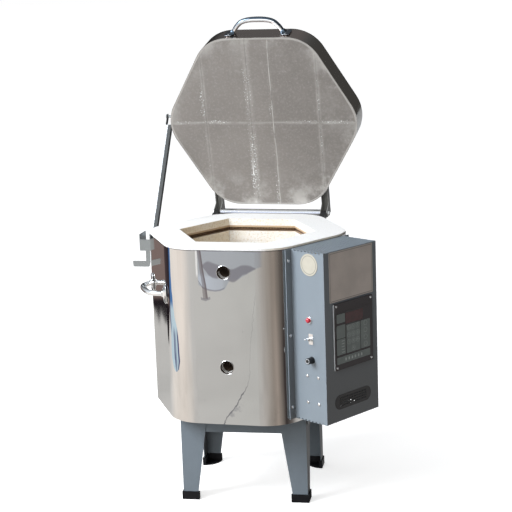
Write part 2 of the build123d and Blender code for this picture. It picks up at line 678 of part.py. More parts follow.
with BuildPart() as lid_band:
    with BuildSketch(on(LID, Plane.XY.offset(LID_BOTTOM))):
        add(Pos(0, LID_BACK) * rounded_hexagon(LID_APOTHEM, LID_CORNER))
        add(
            Pos(0, LID_BACK) * rounded_hexagon(LID_APOTHEM - LID_SHEET, LID_CORNER - LID_SHEET),
            mode=Mode.SUBTRACT,
        )
    extrude(amount=LID_THICK)
    drill(lid_front, handle_screw_spots(0, STAY_PIVOT_Z), SCREW_RADIUS + 0.1, 5)
    drill(pivot_side, [(STAY_PIVOT_Y, STAY_PIVOT_Z)], STAY_BOLT_RADIUS + 0.2, 50)
    for angle in (60, 120):
        extrude(lid_corner_holes(angle, LID_CORNER_OUT), amount=5, both=True, mode=Mode.SUBTRACT)
write(lid_band, "lid_band")

write(bow_handle(lid_front, 0, STAY_PIVOT_Z, lid_space.part), "lid_handle")

ARM_WEB_Z = HINGE_Z + ARM_RISE
with BuildPart() as lid_arms:
    for side in (-1, 1):
        with BuildSketch(on(LID, Plane.YZ.offset(side * ARM_X - ARM_WIDE / 2))):
            Polygon(
                (200, ARM_WEB_Z + ARM_SHEET),
                (200, ARM_WEB_Z - ARM_DEEP),
                (HINGE_Y - ARM_DEEP, ARM_WEB_Z - ARM_DEEP),
                (HINGE_Y - ARM_EAR_RADIUS, HINGE_Z),
                (HINGE_Y + ARM_EAR_RADIUS, HINGE_Z),
                (HINGE_Y + ARM_EAR_RADIUS + 2, ARM_WEB_Z + ARM_SHEET),
                align=None,
            )
            with Locations((HINGE_Y, HINGE_Z)):
                Circle(ARM_EAR_RADIUS)
        extrude(amount=ARM_WIDE)
        with BuildSketch(on(LID, Plane.YZ.offset(side * ARM_X - ARM_WIDE / 2 + ARM_SHEET))):
            with Locations((HINGE_Y - 20, ARM_WEB_Z - 50)):
                Rectangle(300, 100)
        extrude(amount=ARM_WIDE - 2 * ARM_SHEET, mode=Mode.SUBTRACT)
        with BuildSketch(on(LID, Plane.XY.offset(ARM_WEB_Z - 34))):
            add(Pos(0, LID_BACK) * rounded_hexagon(LID_APOTHEM + ARM_SHEET, LID_CORNER + ARM_SHEET))
            with Locations((side * (ARM_X - 15), 262)):
                Rectangle(50, 80, mode=Mode.INTERSECT)
        extrude(amount=46)
    add(lid_space.part, mode=Mode.SUBTRACT)
    drill(Plane.YZ, [(HINGE_Y, HINGE_Z)], HINGE_ROD_RADIUS + RUNNING_GAP, ARM_X + 20)
    for angle in (60, 120):
        extrude(lid_corner_holes(angle, LID_CORNER_OUT), amount=5, both=True, mode=Mode.SUBTRACT)
write(lid_arms, "lid_arms")

with BuildPart() as lid_screws:
    lid_handle_spots = handle_screw_spots(0, STAY_PIVOT_Z)
    rods(lid_front.offset(-1.1), lid_handle_spots, SCREW_RADIUS, BOW_FOOT_THICK + 2)
    rods(lid_front.offset(BOW_FOOT_THICK), lid_handle_spots, SCREW_HEAD_RADIUS - 0.5, 2)
    for angle in (60, 120):
        corner = on(LID, on(Plane((0, LID_BACK, 0)), facet(angle, LID_CORNER_OUT)))
        arm_spots = [(0, height) for height in ARM_SCREWS]
        rods(corner.offset(-1.1), arm_spots, SCREW_RADIUS, ARM_SHEET + 2)
        rods(corner.offset(ARM_SHEET + 0.1), arm_spots, SCREW_HEAD_RADIUS - 0.5, 2)
write(lid_screws, "lid_screws")

# Lid stay: a channel that hangs from the lid and runs down through the guide on the jacket
with BuildPart() as stay_arm:
    with BuildSketch(STAY.offset(-STAY_LONG)):
        with Locations((STAY_OUT + STAY_WIDE / 2, 0)):
            Rectangle(STAY_WIDE, STAY_DEEP)
    extrude(amount=STAY_LONG + STAY_DEEP / 2)
    with BuildSketch(STAY.offset(-STAY_LONG)):
        with Locations((STAY_OUT + STAY_WIDE / 2, STAY_SHEET)):
            Rectangle(STAY_WIDE - 2 * STAY_SHEET, STAY_DEEP)
    extrude(amount=STAY_LONG + STAY_DEEP / 2, mode=Mode.SUBTRACT)
    with BuildSketch(STAY.offset(-36)):
        with Locations((STAY_OUT + STAY_WIDE / 2, 0)):
            Rectangle(STAY_WIDE - 2 * STAY_SHEET, 2 * STAY_DEEP)
    extrude(amount=60, mode=Mode.SUBTRACT)
    fillet(
        stay_arm.edges().filter_by(Axis.X).group_by(Axis(STAY.origin, STAY.z_dir))[-1],
        STAY_DEEP / 2 - 0.5,
    )
    drill(
        on(STAY, Plane(origin=(STAY_OUT, 0, 0), x_dir=(0, 1, 0), z_dir=(1, 0, 0))),
        [(0, 0)],
        STAY_BOLT_RADIUS + RUNNING_GAP,
        60,
    )
write(stay_arm, "stay_arm")

with BuildPart() as stay_pivot_bolt:
    bolt_axis = on(LID, Plane(origin=(0, STAY_PIVOT_Y, STAY_PIVOT_Z), x_dir=(0, 1, 0), z_dir=(1, 0, 0)))
    rods(bolt_axis.offset(STAY_OUT - 1), [(0, 0)], STAY_BOLT_RADIUS, 50)
    rods(bolt_axis.offset(STAY_OUT + STAY_WIDE + 0.3), [(0, 0)], 7.5, 3.9)
    with BuildSketch(bolt_axis.offset(STAY_OUT - 0.3)) as bolt_head:
        RegularPolygon(6.5, 6, major_radius=False)
    extrude(bolt_head.sketch, amount=-4)
write(stay_pivot_bolt, "stay_pivot_bolt")

GUIDE_IN = -CORNER_OUT - 0.05
with BuildPart() as stay_guide:
    with BuildSketch(Plane.XY.offset(GUIDE_BOTTOM)):
        with Locations(((GUIDE_OUT + GUIDE_IN) / 2, (GUIDE_FRONT + GUIDE_BACK) / 2)):
            Rectangle(GUIDE_IN - GUIDE_OUT, GUIDE_BACK - GUIDE_FRONT)
        with Locations(((GUIDE_OUT + GUIDE_IN) / 2, (GUIDE_FRONT + GUIDE_BACK) / 2 + GUIDE_SHEET)):
            Rectangle(GUIDE_IN - GUIDE_OUT - 2 * GUIDE_SHEET, GUIDE_BACK - GUIDE_FRONT, mode=Mode.SUBTRACT)
    extrude(amount=GUIDE_TOP - GUIDE_BOTTOM)
    with BuildSketch(Plane.XZ.offset(-GUIDE_FRONT)):
        with Locations(((GUIDE_OUT + GUIDE_IN) / 2, GUIDE_TOP)):
            Rectangle(GUIDE_IN - GUIDE_OUT - 2 * GUIDE_SHEET, 2 * 17)
    extrude(amount=GUIDE_SHEET * 2, both=True, mode=Mode.SUBTRACT)
    rods(
        Plane(origin=(0, GUIDE_FRONT, 0), x_dir=(-1, 0, 0), z_dir=(0, 1, 0)),
        [(-LEVER_PIN_X, LEVER_PIN_Z)],
        LEVER_PIN_RADIUS,
        LEVER_THICK + 4.5,
    )
    extrude(corner_hole_sketch(180, CORNER_OUT), amount=6, mode=Mode.SUBTRACT)
write(stay_guide, "stay_guide")

with BuildPart() as release_lever:
    with BuildSketch(Plane.XZ.offset(-LEVER_FRONT)):
        with BuildLine():
            FilletPolyline(
                (LEVER_PIN_X - 7, LEVER_PIN_Z + 9),
                (LEVER_PIN_X - 7, LEVER_PIN_Z - 59),
                (LEVER_PIN_X - 54, LEVER_PIN_Z - 59),
                (LEVER_PIN_X - 52, LEVER_PIN_Z - 78),
                (LEVER_PIN_X + 3, LEVER_PIN_Z - 78),
                (LEVER_PIN_X + 7, LEVER_PIN_Z - 62),
                (LEVER_PIN_X + 7, LEVER_PIN_Z + 9),
                radius=3,
                close=True,
            )
        make_face()
    extrude(amount=-LEVER_THICK)
    drill(Plane.XZ.offset(-LEVER_FRONT), [(LEVER_PIN_X, LEVER_PIN_Z)], LEVER_PIN_RADIUS + RUNNING_GAP, 10)
write(release_lever, "release_lever")

with BuildPart() as body_screws:
    for angle in HANDLE_ANGLES.values():
        rods(facet(angle, BODY_APOTHEM - 1.3), SIDE_HANDLE_SPOTS, SCREW_RADIUS, BOW_FOOT_THICK + 2)
        rods(facet(angle, BODY_APOTHEM + BOW_FOOT_THICK), SIDE_HANDLE_SPOTS, SCREW_HEAD_RADIUS - 0.5, 2)
    guide_spots = [(0, height) for height in GUIDE_SCREWS]
    rods(facet(180, CORNER_OUT - CORNER_SCREW_DEEP), guide_spots, SCREW_RADIUS, CORNER_SCREW_DEEP + 1)
    rods(facet(180, CORNER_OUT + GUIDE_SHEET + 0.1), guide_spots, SCREW_HEAD_RADIUS - 1, 1)
    bracket_spots = [(0, height) for height in BRACKET_SCREWS]
    for angle in (60, 120):
        rods(facet(angle, CORNER_OUT - CORNER_SCREW_DEEP), bracket_spots, SCREW_RADIUS, CORNER_SCREW_DEEP + 4)
        rods(facet(angle, CORNER_OUT + BRACKET_SHEET + 0.1), bracket_spots, SCREW_HEAD_RADIUS - 0.5, 2)
write(body_screws, "body_screws")

# Control box
PANEL_Z = BOX_BACK - 1
PERFORATION_PITCH = 9.5
PERFORATION_RADIUS = 2.9
NOTCH_RADIUS = 4.6
ROW_PITCH = PERFORATION_PITCH * sqrt(3) / 2


def perforation(clear_of):
    """Where the staggered holes of a perforated sheet go, none of them near a spot that is kept whole."""
    spots = []
    for row in range(-7, 8):
        for place in range(-12, 13 - row % 2):
            spot = (row * ROW_PITCH, (place + 0.5 * (row % 2)) * PERFORATION_PITCH)
            if (Vector(*spot) - Vector(*clear_of)).length > 22:
                spots.append(spot)
    return spots


with BuildPart() as box_back_panel:
    with BuildSketch(BOX.offset(PANEL_Z - 0.2)):
        with Locations(((BOX_LEFT + BOX_RIGHT) / 2, (BOX_TOP + BOX_BOTTOM) / 2)):
            Rectangle(BOX_RIGHT - BOX_LEFT + 2 * FLANGE_WIDE, BOX_TOP - BOX_BOTTOM)
    extrude(amount=1.2)
    drill(BOX.offset(BOX_BACK), [*tube_spots, (0, THERMOCOUPLE_HIGH)], TUBE_RADIUS + 1, 5)
    drill(BOX.offset(BOX_BACK), flange_spots, SCREW_RADIUS + 0.2, 5)
write(box_back_panel, "box_back_panel")

with BuildPart() as box_cover:
    with BuildSketch(BOX_PLAN.offset(BOX_BOTTOM)):
        middle = (BOX_LEFT + BOX_RIGHT) / 2
        with Locations(((BOX_BACK + BOX_FRONT) / 2, middle)):
            Rectangle(BOX_FRONT - BOX_BACK, BOX_RIGHT - BOX_LEFT)
        with Locations((BOX_BACK + BOX_SHEET / 2, middle)):
            Rectangle(BOX_SHEET, BOX_RIGHT - BOX_LEFT + 2 * FLANGE_WIDE)
        with Locations(((BOX_BACK + BOX_FRONT) / 2 - BOX_SHEET, middle)):
            Rectangle(BOX_FRONT - BOX_BACK, BOX_RIGHT - BOX_LEFT - 2 * BOX_SHEET, mode=Mode.SUBTRACT)
    extrude(amount=BOX_TOP - BOX_BOTTOM)
    with BuildSketch(BOX.offset(BOX_FRONT)):
        with Locations(PANEL_AT):
            Rectangle(PANEL_SIZE[0] - 30, PANEL_SIZE[1] - 30)
        with Locations(VENT_AT):
            SlotOverall(VENT_SIZE[0] - 12, VENT_SIZE[1] - 12)
        with Locations(PANEL_AT):
            with GridLocations(*PANEL_SCREWS, 2, 2):
                Circle(SCREW_RADIUS + 0.1)
    extrude(amount=5, both=True, mode=Mode.SUBTRACT)
    drill(BOX_SIDE, [LAMP_AT, SWITCH_AT], 6.2, 5)
    drill(BOX_SIDE, [FUSE_AT], 6.7, 5)
    drill(BOX_SIDE, RELAY_SCREWS, SCREW_RADIUS + 0.1, 5)
    drill(BOX.offset(BOX_BACK), flange_spots, SCREW_RADIUS + 0.2, 5)
    for edge in (BOX_BOTTOM, BOX_TOP):
        front_notches = [(8.5 + place * PERFORATION_PITCH, edge) for place in range(-12, 13)]
        side_notches = [(BOX_BACK + 17 + place * 2 * ROW_PITCH * 0.87, edge) for place in range(8)]
        drill(BOX.offset(BOX_FRONT), front_notches, PERFORATION_RADIUS, 3)
        drill(BOX_SIDE, side_notches, NOTCH_RADIUS, 260)
write(box_cover, "box_cover")

INNER_MIDDLE = ((BOX_BACK + BOX_FRONT) / 2 - BOX_SHEET / 2 + 0.85, (BOX_LEFT + BOX_RIGHT) / 2)
INNER_SIZE = (BOX_FRONT - BOX_BACK - 3.4, BOX_RIGHT - BOX_LEFT - 2 * BOX_SHEET - 0.2)
GLAND_AT = (372, 60)
with BuildPart() as box_top_panel:
    with BuildSketch(BOX_PLAN.offset(BOX_TOP - BOX_SHEET)):
        with Locations(INNER_MIDDLE):
            Rectangle(*INNER_SIZE)
            with Locations(*perforation((300, 0))):
                Circle(PERFORATION_RADIUS, mode=Mode.SUBTRACT)
    extrude(amount=BOX_SHEET)
write(box_top_panel, "box_top_panel")

with BuildPart() as box_bottom_panel:
    with BuildSketch(BOX_PLAN.offset(BOX_BOTTOM)):
        with Locations(INNER_MIDDLE):
            Rectangle(*INNER_SIZE)
            with Locations(*perforation((GLAND_AT[0] - INNER_MIDDLE[0], GLAND_AT[1] - INNER_MIDDLE[1]))):
                Circle(PERFORATION_RADIUS, mode=Mode.SUBTRACT)
        with Locations(GLAND_AT):
            Circle(10.2, mode=Mode.SUBTRACT)
    extrude(amount=BOX_SHEET)
write(box_bottom_panel, "box_bottom_panel")

with BuildPart() as supply_gland:
    with BuildSketch(BOX_PLAN.offset(BOX_BOTTOM - 22)):
        with Locations(GLAND_AT):
            Circle(9)
    extrude(amount=40)
    with BuildSketch(BOX_PLAN.offset(BOX_BOTTOM - 8)):
        with Locations(GLAND_AT):
            RegularPolygon(13, 6, major_radius=False)
    extrude(amount=8)
    with BuildSketch(BOX_PLAN.offset(BOX_BOTTOM + BOX_SHEET)):
        with Locations(GLAND_AT):
            RegularPolygon(13, 6, major_radius=False)
    extrude(amount=6)
    with BuildSketch(BOX_PLAN.offset(BOX_BOTTOM - 22)):
        with Locations(GLAND_AT):
            Circle(5)
    extrude(amount=40, mode=Mode.SUBTRACT)
write(supply_gland, "supply_gland")

with BuildPart() as box_spacers:
    rods(BOX.offset(PANEL_Z - 15), flange_spots, 6, 14.7)
    add(body_space.part, mode=Mode.SUBTRACT)
    drill(BOX.offset(BOX_BACK), flange_spots, SCREW_RADIUS + 0.2, 20)
write(box_spacers, "box_spacers")

with BuildPart() as box_screws:
    for x, z in flange_spots:
        tip = jacket_at(abs(x) - SCREW_RADIUS) - JACKET_SHEET - 0.15
        rods(BOX.offset(tip), [(x, z)], SCREW_RADIUS, BOX_BACK + BOX_SHEET + 1 - tip)
    rods(BOX.offset(BOX_BACK + BOX_SHEET), flange_spots, BOX_HEAD_RADIUS, 2.8)
    rods(BOX_SIDE.offset(-4), RELAY_SCREWS, SCREW_RADIUS, 4)
    rods(BOX_SIDE, RELAY_SCREWS, BOX_HEAD_RADIUS, 2.8)
    with BuildSketch(BOX.offset(BOX_FRONT - 6)) as panel_shanks:
        with Locations(PANEL_AT):
            with GridLocations(*PANEL_SCREWS, 2, 2):
                Circle(SCREW_RADIUS)
    extrude(panel_shanks.sketch, amount=6 + PANEL_THICK)
    with BuildSketch(BOX.offset(BOX_FRONT + PANEL_THICK)) as panel_heads:
        with Locations(PANEL_AT):
            with GridLocations(*PANEL_SCREWS, 2, 2):
                Circle(SCREW_HEAD_RADIUS - 0.5)
    extrude(panel_heads.sketch, amount=2)
write(box_screws, "box_screws")

with BuildPart() as vent_mesh:
    with BuildSketch(BOX.offset(BOX_FRONT)):
        with Locations(VENT_AT):
            SlotOverall(*VENT_SIZE)
            with GridLocations(8, 8, 16, 4):
                Circle(2.4, mode=Mode.SUBTRACT)
    extrude(amount=0.8)
write(vent_mesh, "vent_mesh")

with BuildPart() as label_plate:
    with BuildSketch(BOX.offset(BOX_FRONT)):
        with Locations(LABEL_AT):
            RectangleRounded(*LABEL_SIZE, 3)
    extrude(amount=0.8)
write(label_plate, "label_plate")

with BuildPart() as round_badge:
    rods(BOX_SIDE, [BADGE_AT], BADGE_RADIUS, 1.2)
    fillet(round_badge.faces().sort_by(Axis(BOX_SIDE.origin, BOX_SIDE.z_dir))[-1].edges(), 0.8)
write(round_badge, "round_badge")

# Controller: raised panel, keypad sheet, red display window and the board behind
with BuildPart() as controller_panel:
    with BuildSketch(BOX.offset(BOX_FRONT)):
        with Locations(PANEL_AT):
            RectangleRounded(*PANEL_SIZE, 3)
    extrude(amount=PANEL_THICK)
    with BuildSketch(BOX.offset(BOX_FRONT)):
        with Locations(DISPLAY_AT):
            Rectangle(*DISPLAY_SIZE)
        with Locations(PANEL_AT):
            with GridLocations(*PANEL_SCREWS, 2, 2):
                Circle(SCREW_RADIUS + 0.1)
    extrude(amount=PANEL_THICK, mode=Mode.SUBTRACT)
write(controller_panel, "controller_panel")

with BuildPart() as keypad:
    with BuildSketch(BOX.offset(BOX_FRONT + PANEL_THICK)):
        with Locations(KEYPAD_AT):
            RectangleRounded(*KEYPAD_SIZE, 4)
        with Locations(DISPLAY_AT):
            Rectangle(*DISPLAY_SIZE, mode=Mode.SUBTRACT)
    extrude(amount=0.6)
write(keypad, "keypad")

with BuildPart() as display_window:
    with BuildSketch(BOX.offset(BOX_FRONT + 1)):
        with Locations(DISPLAY_AT):
            Rectangle(DISPLAY_SIZE[0] - 0.2, DISPLAY_SIZE[1] - 0.2)
    extrude(amount=PANEL_THICK - 1.2)
write(display_window, "display_window")

with BuildPart() as circuit_board:
    with BuildSketch(BOX.offset(BOX_FRONT - 14)):
        with Locations(PANEL_AT):
            Rectangle(140, 170)
    extrude(amount=1.6)
    with BuildSketch(BOX.offset(BOX_FRONT - 14)):
        with Locations((-20, 530), (35, 530)):
            Rectangle(32, 28)
    extrude(amount=-24)
    with BuildSketch(BOX.offset(BOX_FRONT - 12.4)):
        with Locations(DISPLAY_AT):
            Rectangle(70, 28)
    extrude(amount=12)
    with BuildSketch(BOX.offset(BOX_FRONT - 12.4)):
        with Locations(PANEL_AT):
            with GridLocations(120, 150, 2, 2):
                Circle(3)
    extrude(amount=12.4)
write(circuit_board, "circuit_board")

# Pilot lamp, toggle switch and fuse on the narrow side
with BuildPart() as lamp_bezel:
    rods(BOX_SIDE, [LAMP_AT], 11, 3)
    rods(BOX_SIDE.offset(-22), [LAMP_AT], 6, 22)
    fillet(lamp_bezel.faces().sort_by(Axis(BOX_SIDE.origin, BOX_SIDE.z_dir))[-1].edges(), 1.5)
    drill(BOX_SIDE.offset(3), [LAMP_AT], 5, 12)
write(lamp_bezel, "lamp_bezel")

with BuildPart() as lamp_lens:
    rods(BOX_SIDE.offset(-8), [LAMP_AT], 4.9, 12)
    rods(BOX_SIDE.offset(3.1), [LAMP_AT], 8.5, 8.5)
    fillet(lamp_lens.faces().sort_by(Axis(BOX_SIDE.origin, BOX_SIDE.z_dir))[-1].edges(), 6)
write(lamp_lens, "lamp_lens")

BAT_TILT = 12
SWITCH_PIVOT = 2
BAT_PIN_RADIUS = 1.2
BAT_PIN_LONG = 5.6
with BuildPart() as toggle_switch:
    with BuildSketch(BOX_SIDE):
        with Locations(SWITCH_AT):
            RectangleRounded(17, 34, 2)
    extrude(amount=1.2)
    with BuildSketch(BOX_SIDE.offset(1.2)):
        with Locations(SWITCH_AT):
            RegularPolygon(7.5, 6, major_radius=False)
    extrude(amount=2.4)
    rods(BOX_SIDE.offset(-BOX_SHEET - 1), [SWITCH_AT], 5.9, BOX_SHEET + 10)
    with BuildSketch(BOX_SIDE.offset(-BOX_SHEET - 0.5)):
        with Locations(SWITCH_AT):
            Rectangle(16, 28)
    extrude(amount=-20)
    with BuildSketch(BOX_SIDE.offset(9)):
        with Locations(SWITCH_AT):
            SlotOverall(11, 6, rotation=90)
    extrude(amount=-11, mode=Mode.SUBTRACT)
write(toggle_switch, "toggle_switch")

bat_pivot = on(BOX_SIDE, Plane((*SWITCH_AT, SWITCH_PIVOT)))
bat_axis = bat_pivot.rotated((-BAT_TILT, 0, 0))
with BuildPart() as toggle_bat:
    with BuildSketch(bat_axis.offset(-2)):
        Circle(1.8)
    with BuildSketch(bat_axis.offset(22)):
        Circle(3.2)
    loft()
    with BuildSketch(bat_axis.offset(22)):
        Circle(3.2)
    extrude(amount=5)
    pin_end = Plane(origin=bat_pivot.origin, x_dir=BOX_SIDE.y_dir, z_dir=BOX_SIDE.x_dir)
    rods(pin_end.offset(-BAT_PIN_LONG / 2), [(0, 0)], BAT_PIN_RADIUS, BAT_PIN_LONG)
    fillet(toggle_bat.faces().sort_by(Axis(bat_axis.origin, bat_axis.z_dir))[-1].edges(), 2.5)
write(toggle_bat, "toggle_bat")

with BuildPart() as fuse_holder:
    rods(BOX_SIDE, [FUSE_AT], 11, 3)
    rods(BOX_SIDE.offset(-34), [FUSE_AT], 6.5, 34)
    drill(BOX_SIDE.offset(3), [FUSE_AT], 4.5, 30)
write(fuse_holder, "fuse_holder")

with BuildPart() as fuse_cap:
    rods(BOX_SIDE.offset(3.3), [FUSE_AT], 9.8, 19)
    rods(BOX_SIDE.offset(-18), [FUSE_AT], 4.2, 22)
    with BuildSketch(BOX_SIDE.offset(6)):
        with Locations(FUSE_AT):
            with PolarLocations(9.9, 14):
                Circle(0.9)
    extrude(amount=18, mode=Mode.SUBTRACT)
    fillet(fuse_cap.faces().sort_by(Axis(BOX_SIDE.origin, BOX_SIDE.z_dir))[-1].edges(), 0.4)
write(fuse_cap, "fuse_cap")

# Relays on the inside of the narrow side, the terminal block on the back panel, and the wires
with BuildPart() as relays:
    with BuildSketch(BOX_SIDE.offset(-BOX_SHEET - 0.2)):
        with Locations(*[(x, 417.5) for x in (358, 404)]):
            RectangleRounded(40, 100, 2)
    extrude(amount=-45)
    drill(BOX_SIDE, RELAY_SCREWS, SCREW_RADIUS + 0.1, 8)
write(relays, "relays")

BLOCK_AT = (30, 352)
with BuildPart() as terminal_block:
    with BuildSketch(BOX.offset(BOX_BACK + 0.2)):
        with Locations(BLOCK_AT):
            Rectangle(92, 26)
    extrude(amount=20)
    with BuildSketch(BOX.offset(BOX_BACK + 20.2)):
        with Locations(BLOCK_AT):
            with GridLocations(18, 12, 5, 2):
                Circle(3.2)
    extrude(amount=-6, mode=Mode.SUBTRACT)
write(terminal_block, "terminal_block")


def wire(*points):
    """Adds an insulated wire along points given along the box's facet, up, and outwards."""
    with BuildLine() as route:
        FilletPolyline(*[BOX.from_local_coords(Vector(*point)) for point in points], radius=8)
    with BuildSketch(Plane(origin=route.line @ 0, z_dir=route.line % 0)) as end:
        Circle(1.6)
    sweep(end.sketch, path=route.line)


LUG_FACE = TUBE_END + 20
RELAY_TOP = 467.5
RELAY_LOW = 367.5
WIRE_SIDE = -90
with BuildPart() as wiring:
    for lane, row in enumerate(ROWS[:4]):
        out = LUG_FACE + 16 + 5 * lane
        wire(
            (-TAIL_SPREAD, row, TAIL_END + 0.2),
            (-TAIL_SPREAD, row, out),
            (WIRE_SIDE, row, out),
            (WIRE_SIDE, RELAY_TOP + 0.2, out),
        )
    for lane in range(3):
        across = BLOCK_AT[0] + 18 * (lane - 1)
        out = 346 + 12 * lane
        wire(
            (across, 345, BOX_BACK + 20.4),
            (across, 345, out),
            (WIRE_SIDE, 345, out),
            (WIRE_SIDE, RELAY_LOW - 0.2, out),
        )
write(wiring, "wiring")
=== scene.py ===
"""The looks of a top-loading electric kiln: finishes, small pieces, studio and camera."""

import logging
import math
from dataclasses import dataclass, field, replace
from enum import Enum
from functools import cache
from typing import Any, Callable, Iterable, Mapping, Sequence

import bmesh
import bpy
from mathutils import Matrix, Vector


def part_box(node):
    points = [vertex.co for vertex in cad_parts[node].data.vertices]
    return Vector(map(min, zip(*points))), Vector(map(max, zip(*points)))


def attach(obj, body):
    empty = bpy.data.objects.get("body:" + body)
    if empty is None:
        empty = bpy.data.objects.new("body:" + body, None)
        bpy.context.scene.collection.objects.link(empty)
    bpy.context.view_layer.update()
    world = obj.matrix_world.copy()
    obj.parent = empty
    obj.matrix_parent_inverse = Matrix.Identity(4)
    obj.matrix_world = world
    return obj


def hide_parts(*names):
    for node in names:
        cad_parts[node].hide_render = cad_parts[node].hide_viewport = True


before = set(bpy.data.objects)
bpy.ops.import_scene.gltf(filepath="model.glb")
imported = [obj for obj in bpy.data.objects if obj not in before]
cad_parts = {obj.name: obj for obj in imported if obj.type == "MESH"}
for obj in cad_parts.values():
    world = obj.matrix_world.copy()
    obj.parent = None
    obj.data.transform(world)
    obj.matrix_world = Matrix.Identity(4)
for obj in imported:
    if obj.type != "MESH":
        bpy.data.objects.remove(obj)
LOG = logging.getLogger("kiln")
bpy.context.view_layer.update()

Pair = tuple[float, float]
Triple = tuple[float, float, float]
Line = tuple[Pair, ...]
Piece = bpy.types.Object
Material = bpy.types.Material

UP: Triple = (0, 0, 1)
EVEN: Triple = (1, 1, 1)
WHITE: Triple = (1, 1, 1)
COS_30 = math.cos(math.radians(30))
# Millimetres: half the width of the jacket across its flats, and the radius of its corners.
JACKET_REACH = 300
JACKET_CORNER = 127.5
# Degrees and metres: how far the lid stands open, and the hinge's line.
LID_OPEN = 77
HINGE: Triple = (0, 0.332, 0.860)


class Body(Enum):
    """The bodies that new pieces ride on."""

    KILN = "kiln_body"
    LID = "lid"
    FUSE = "fuse"


class Pick(Enum):
    """What is selected in edit mode."""

    CORNERS = "VERT"
    EDGES = "EDGE"
    FACES = "FACE"


def tint(red: float, green: float, blue: float) -> Triple:
    """Linear colour of a screen colour given from 0 to 255."""
    levels = [channel / 255 for channel in (red, green, blue)]
    return tuple(v / 12.92 if v <= 0.04045 else ((v + 0.055) / 1.055) ** 2.4 for v in levels)


def toned(colour: Triple, shares: Triple) -> Triple:
    """A colour with each of its channels multiplied by a share."""
    return tuple(channel * share for channel, share in zip(colour, shares))


def dimmed(colour: Triple, share: float) -> Triple:
    """A colour at a share of its strength."""
    return toned(colour, (share,) * 3)


def raised(colour: Triple, gain: float, lift: float = 0) -> Triple:
    """A colour made lighter by a gain and a lift, up to full white."""
    return tuple(min(1, channel * gain + lift) for channel in colour)


# Shader trees


def sum_of(operation: str, turned: bool = False) -> Callable[["Value", Any], "Value"]:
    """Makes an operator or method of Value that adds one Math node.

    Args:
        operation: the node's operation.
        turned: whether the other value or number comes first.

    Returns:
        The method.
    """

    def method(self: "Value", other: Any) -> "Value":
        """This value and another one or a number, through a Math node."""
        values = {0: other, 1: self} if turned else {0: self, 1: other}
        return self.graph.node("ShaderNodeMath", values, operation=operation)

    return method


class Value:
    """A socket of a shader tree, with the sums that the finishes write as plain expressions."""

    def __init__(self, graph: "Graph", socket: bpy.types.NodeSocket) -> None:
        """Keeps the socket and the tree it belongs to."""
        self.graph = graph
        self.socket = socket

    __add__, __radd__ = sum_of("ADD"), sum_of("ADD", turned=True)
    __sub__, __rsub__ = sum_of("SUBTRACT"), sum_of("SUBTRACT", turned=True)
    __mul__, __rmul__ = sum_of("MULTIPLY"), sum_of("MULTIPLY", turned=True)
    __truediv__, __pow__ = sum_of("DIVIDE"), sum_of("POWER")
    least, most = sum_of("MINIMUM"), sum_of("MAXIMUM")

    def size(self) -> "Value":
        """The value without its sign."""
        return self.graph.node("ShaderNodeMath", {0: self}, operation="ABSOLUTE")

    def step(self, low: float, high: float) -> "Value":
        """A soft step from 0 at low to 1 at high, or the other way where low is the larger."""
        ends = {"Value": self, "From Min": low, "From Max": high}
        return self.graph.node("ShaderNodeMapRange", ends, interpolation_type="SMOOTHSTEP")

    def follow(self, points: Sequence[Pair], smooth: bool = False) -> "Value":
        """Reads this value off a line.

        Args:
            points: places and heights that the line goes through, from left to right.
            smooth: whether the line bends softly through them.

        Returns:
            The height of the line at this value.
        """
        low, high = points[0][0], points[-1][0]
        least, most = min(y for _, y in points), max(y for _, y in points)
        stops = [((x - low) / (high - low), ((y - least) / (most - least),) * 3) for x, y in points]
        share = (self - low) * (1 / (high - low))
        height = self.graph.node("ShaderNodeValToRGB", {0: share}, stops=stops, smooth=smooth)
        return height * (most - least) + least

    def within(self, low: "Value", high: "Value", soft: float) -> "Value":
        """1 between two values and 0 beyond them, with soft edges."""
        return (self - low).step(-soft, soft) * (high - self).step(-soft, soft)


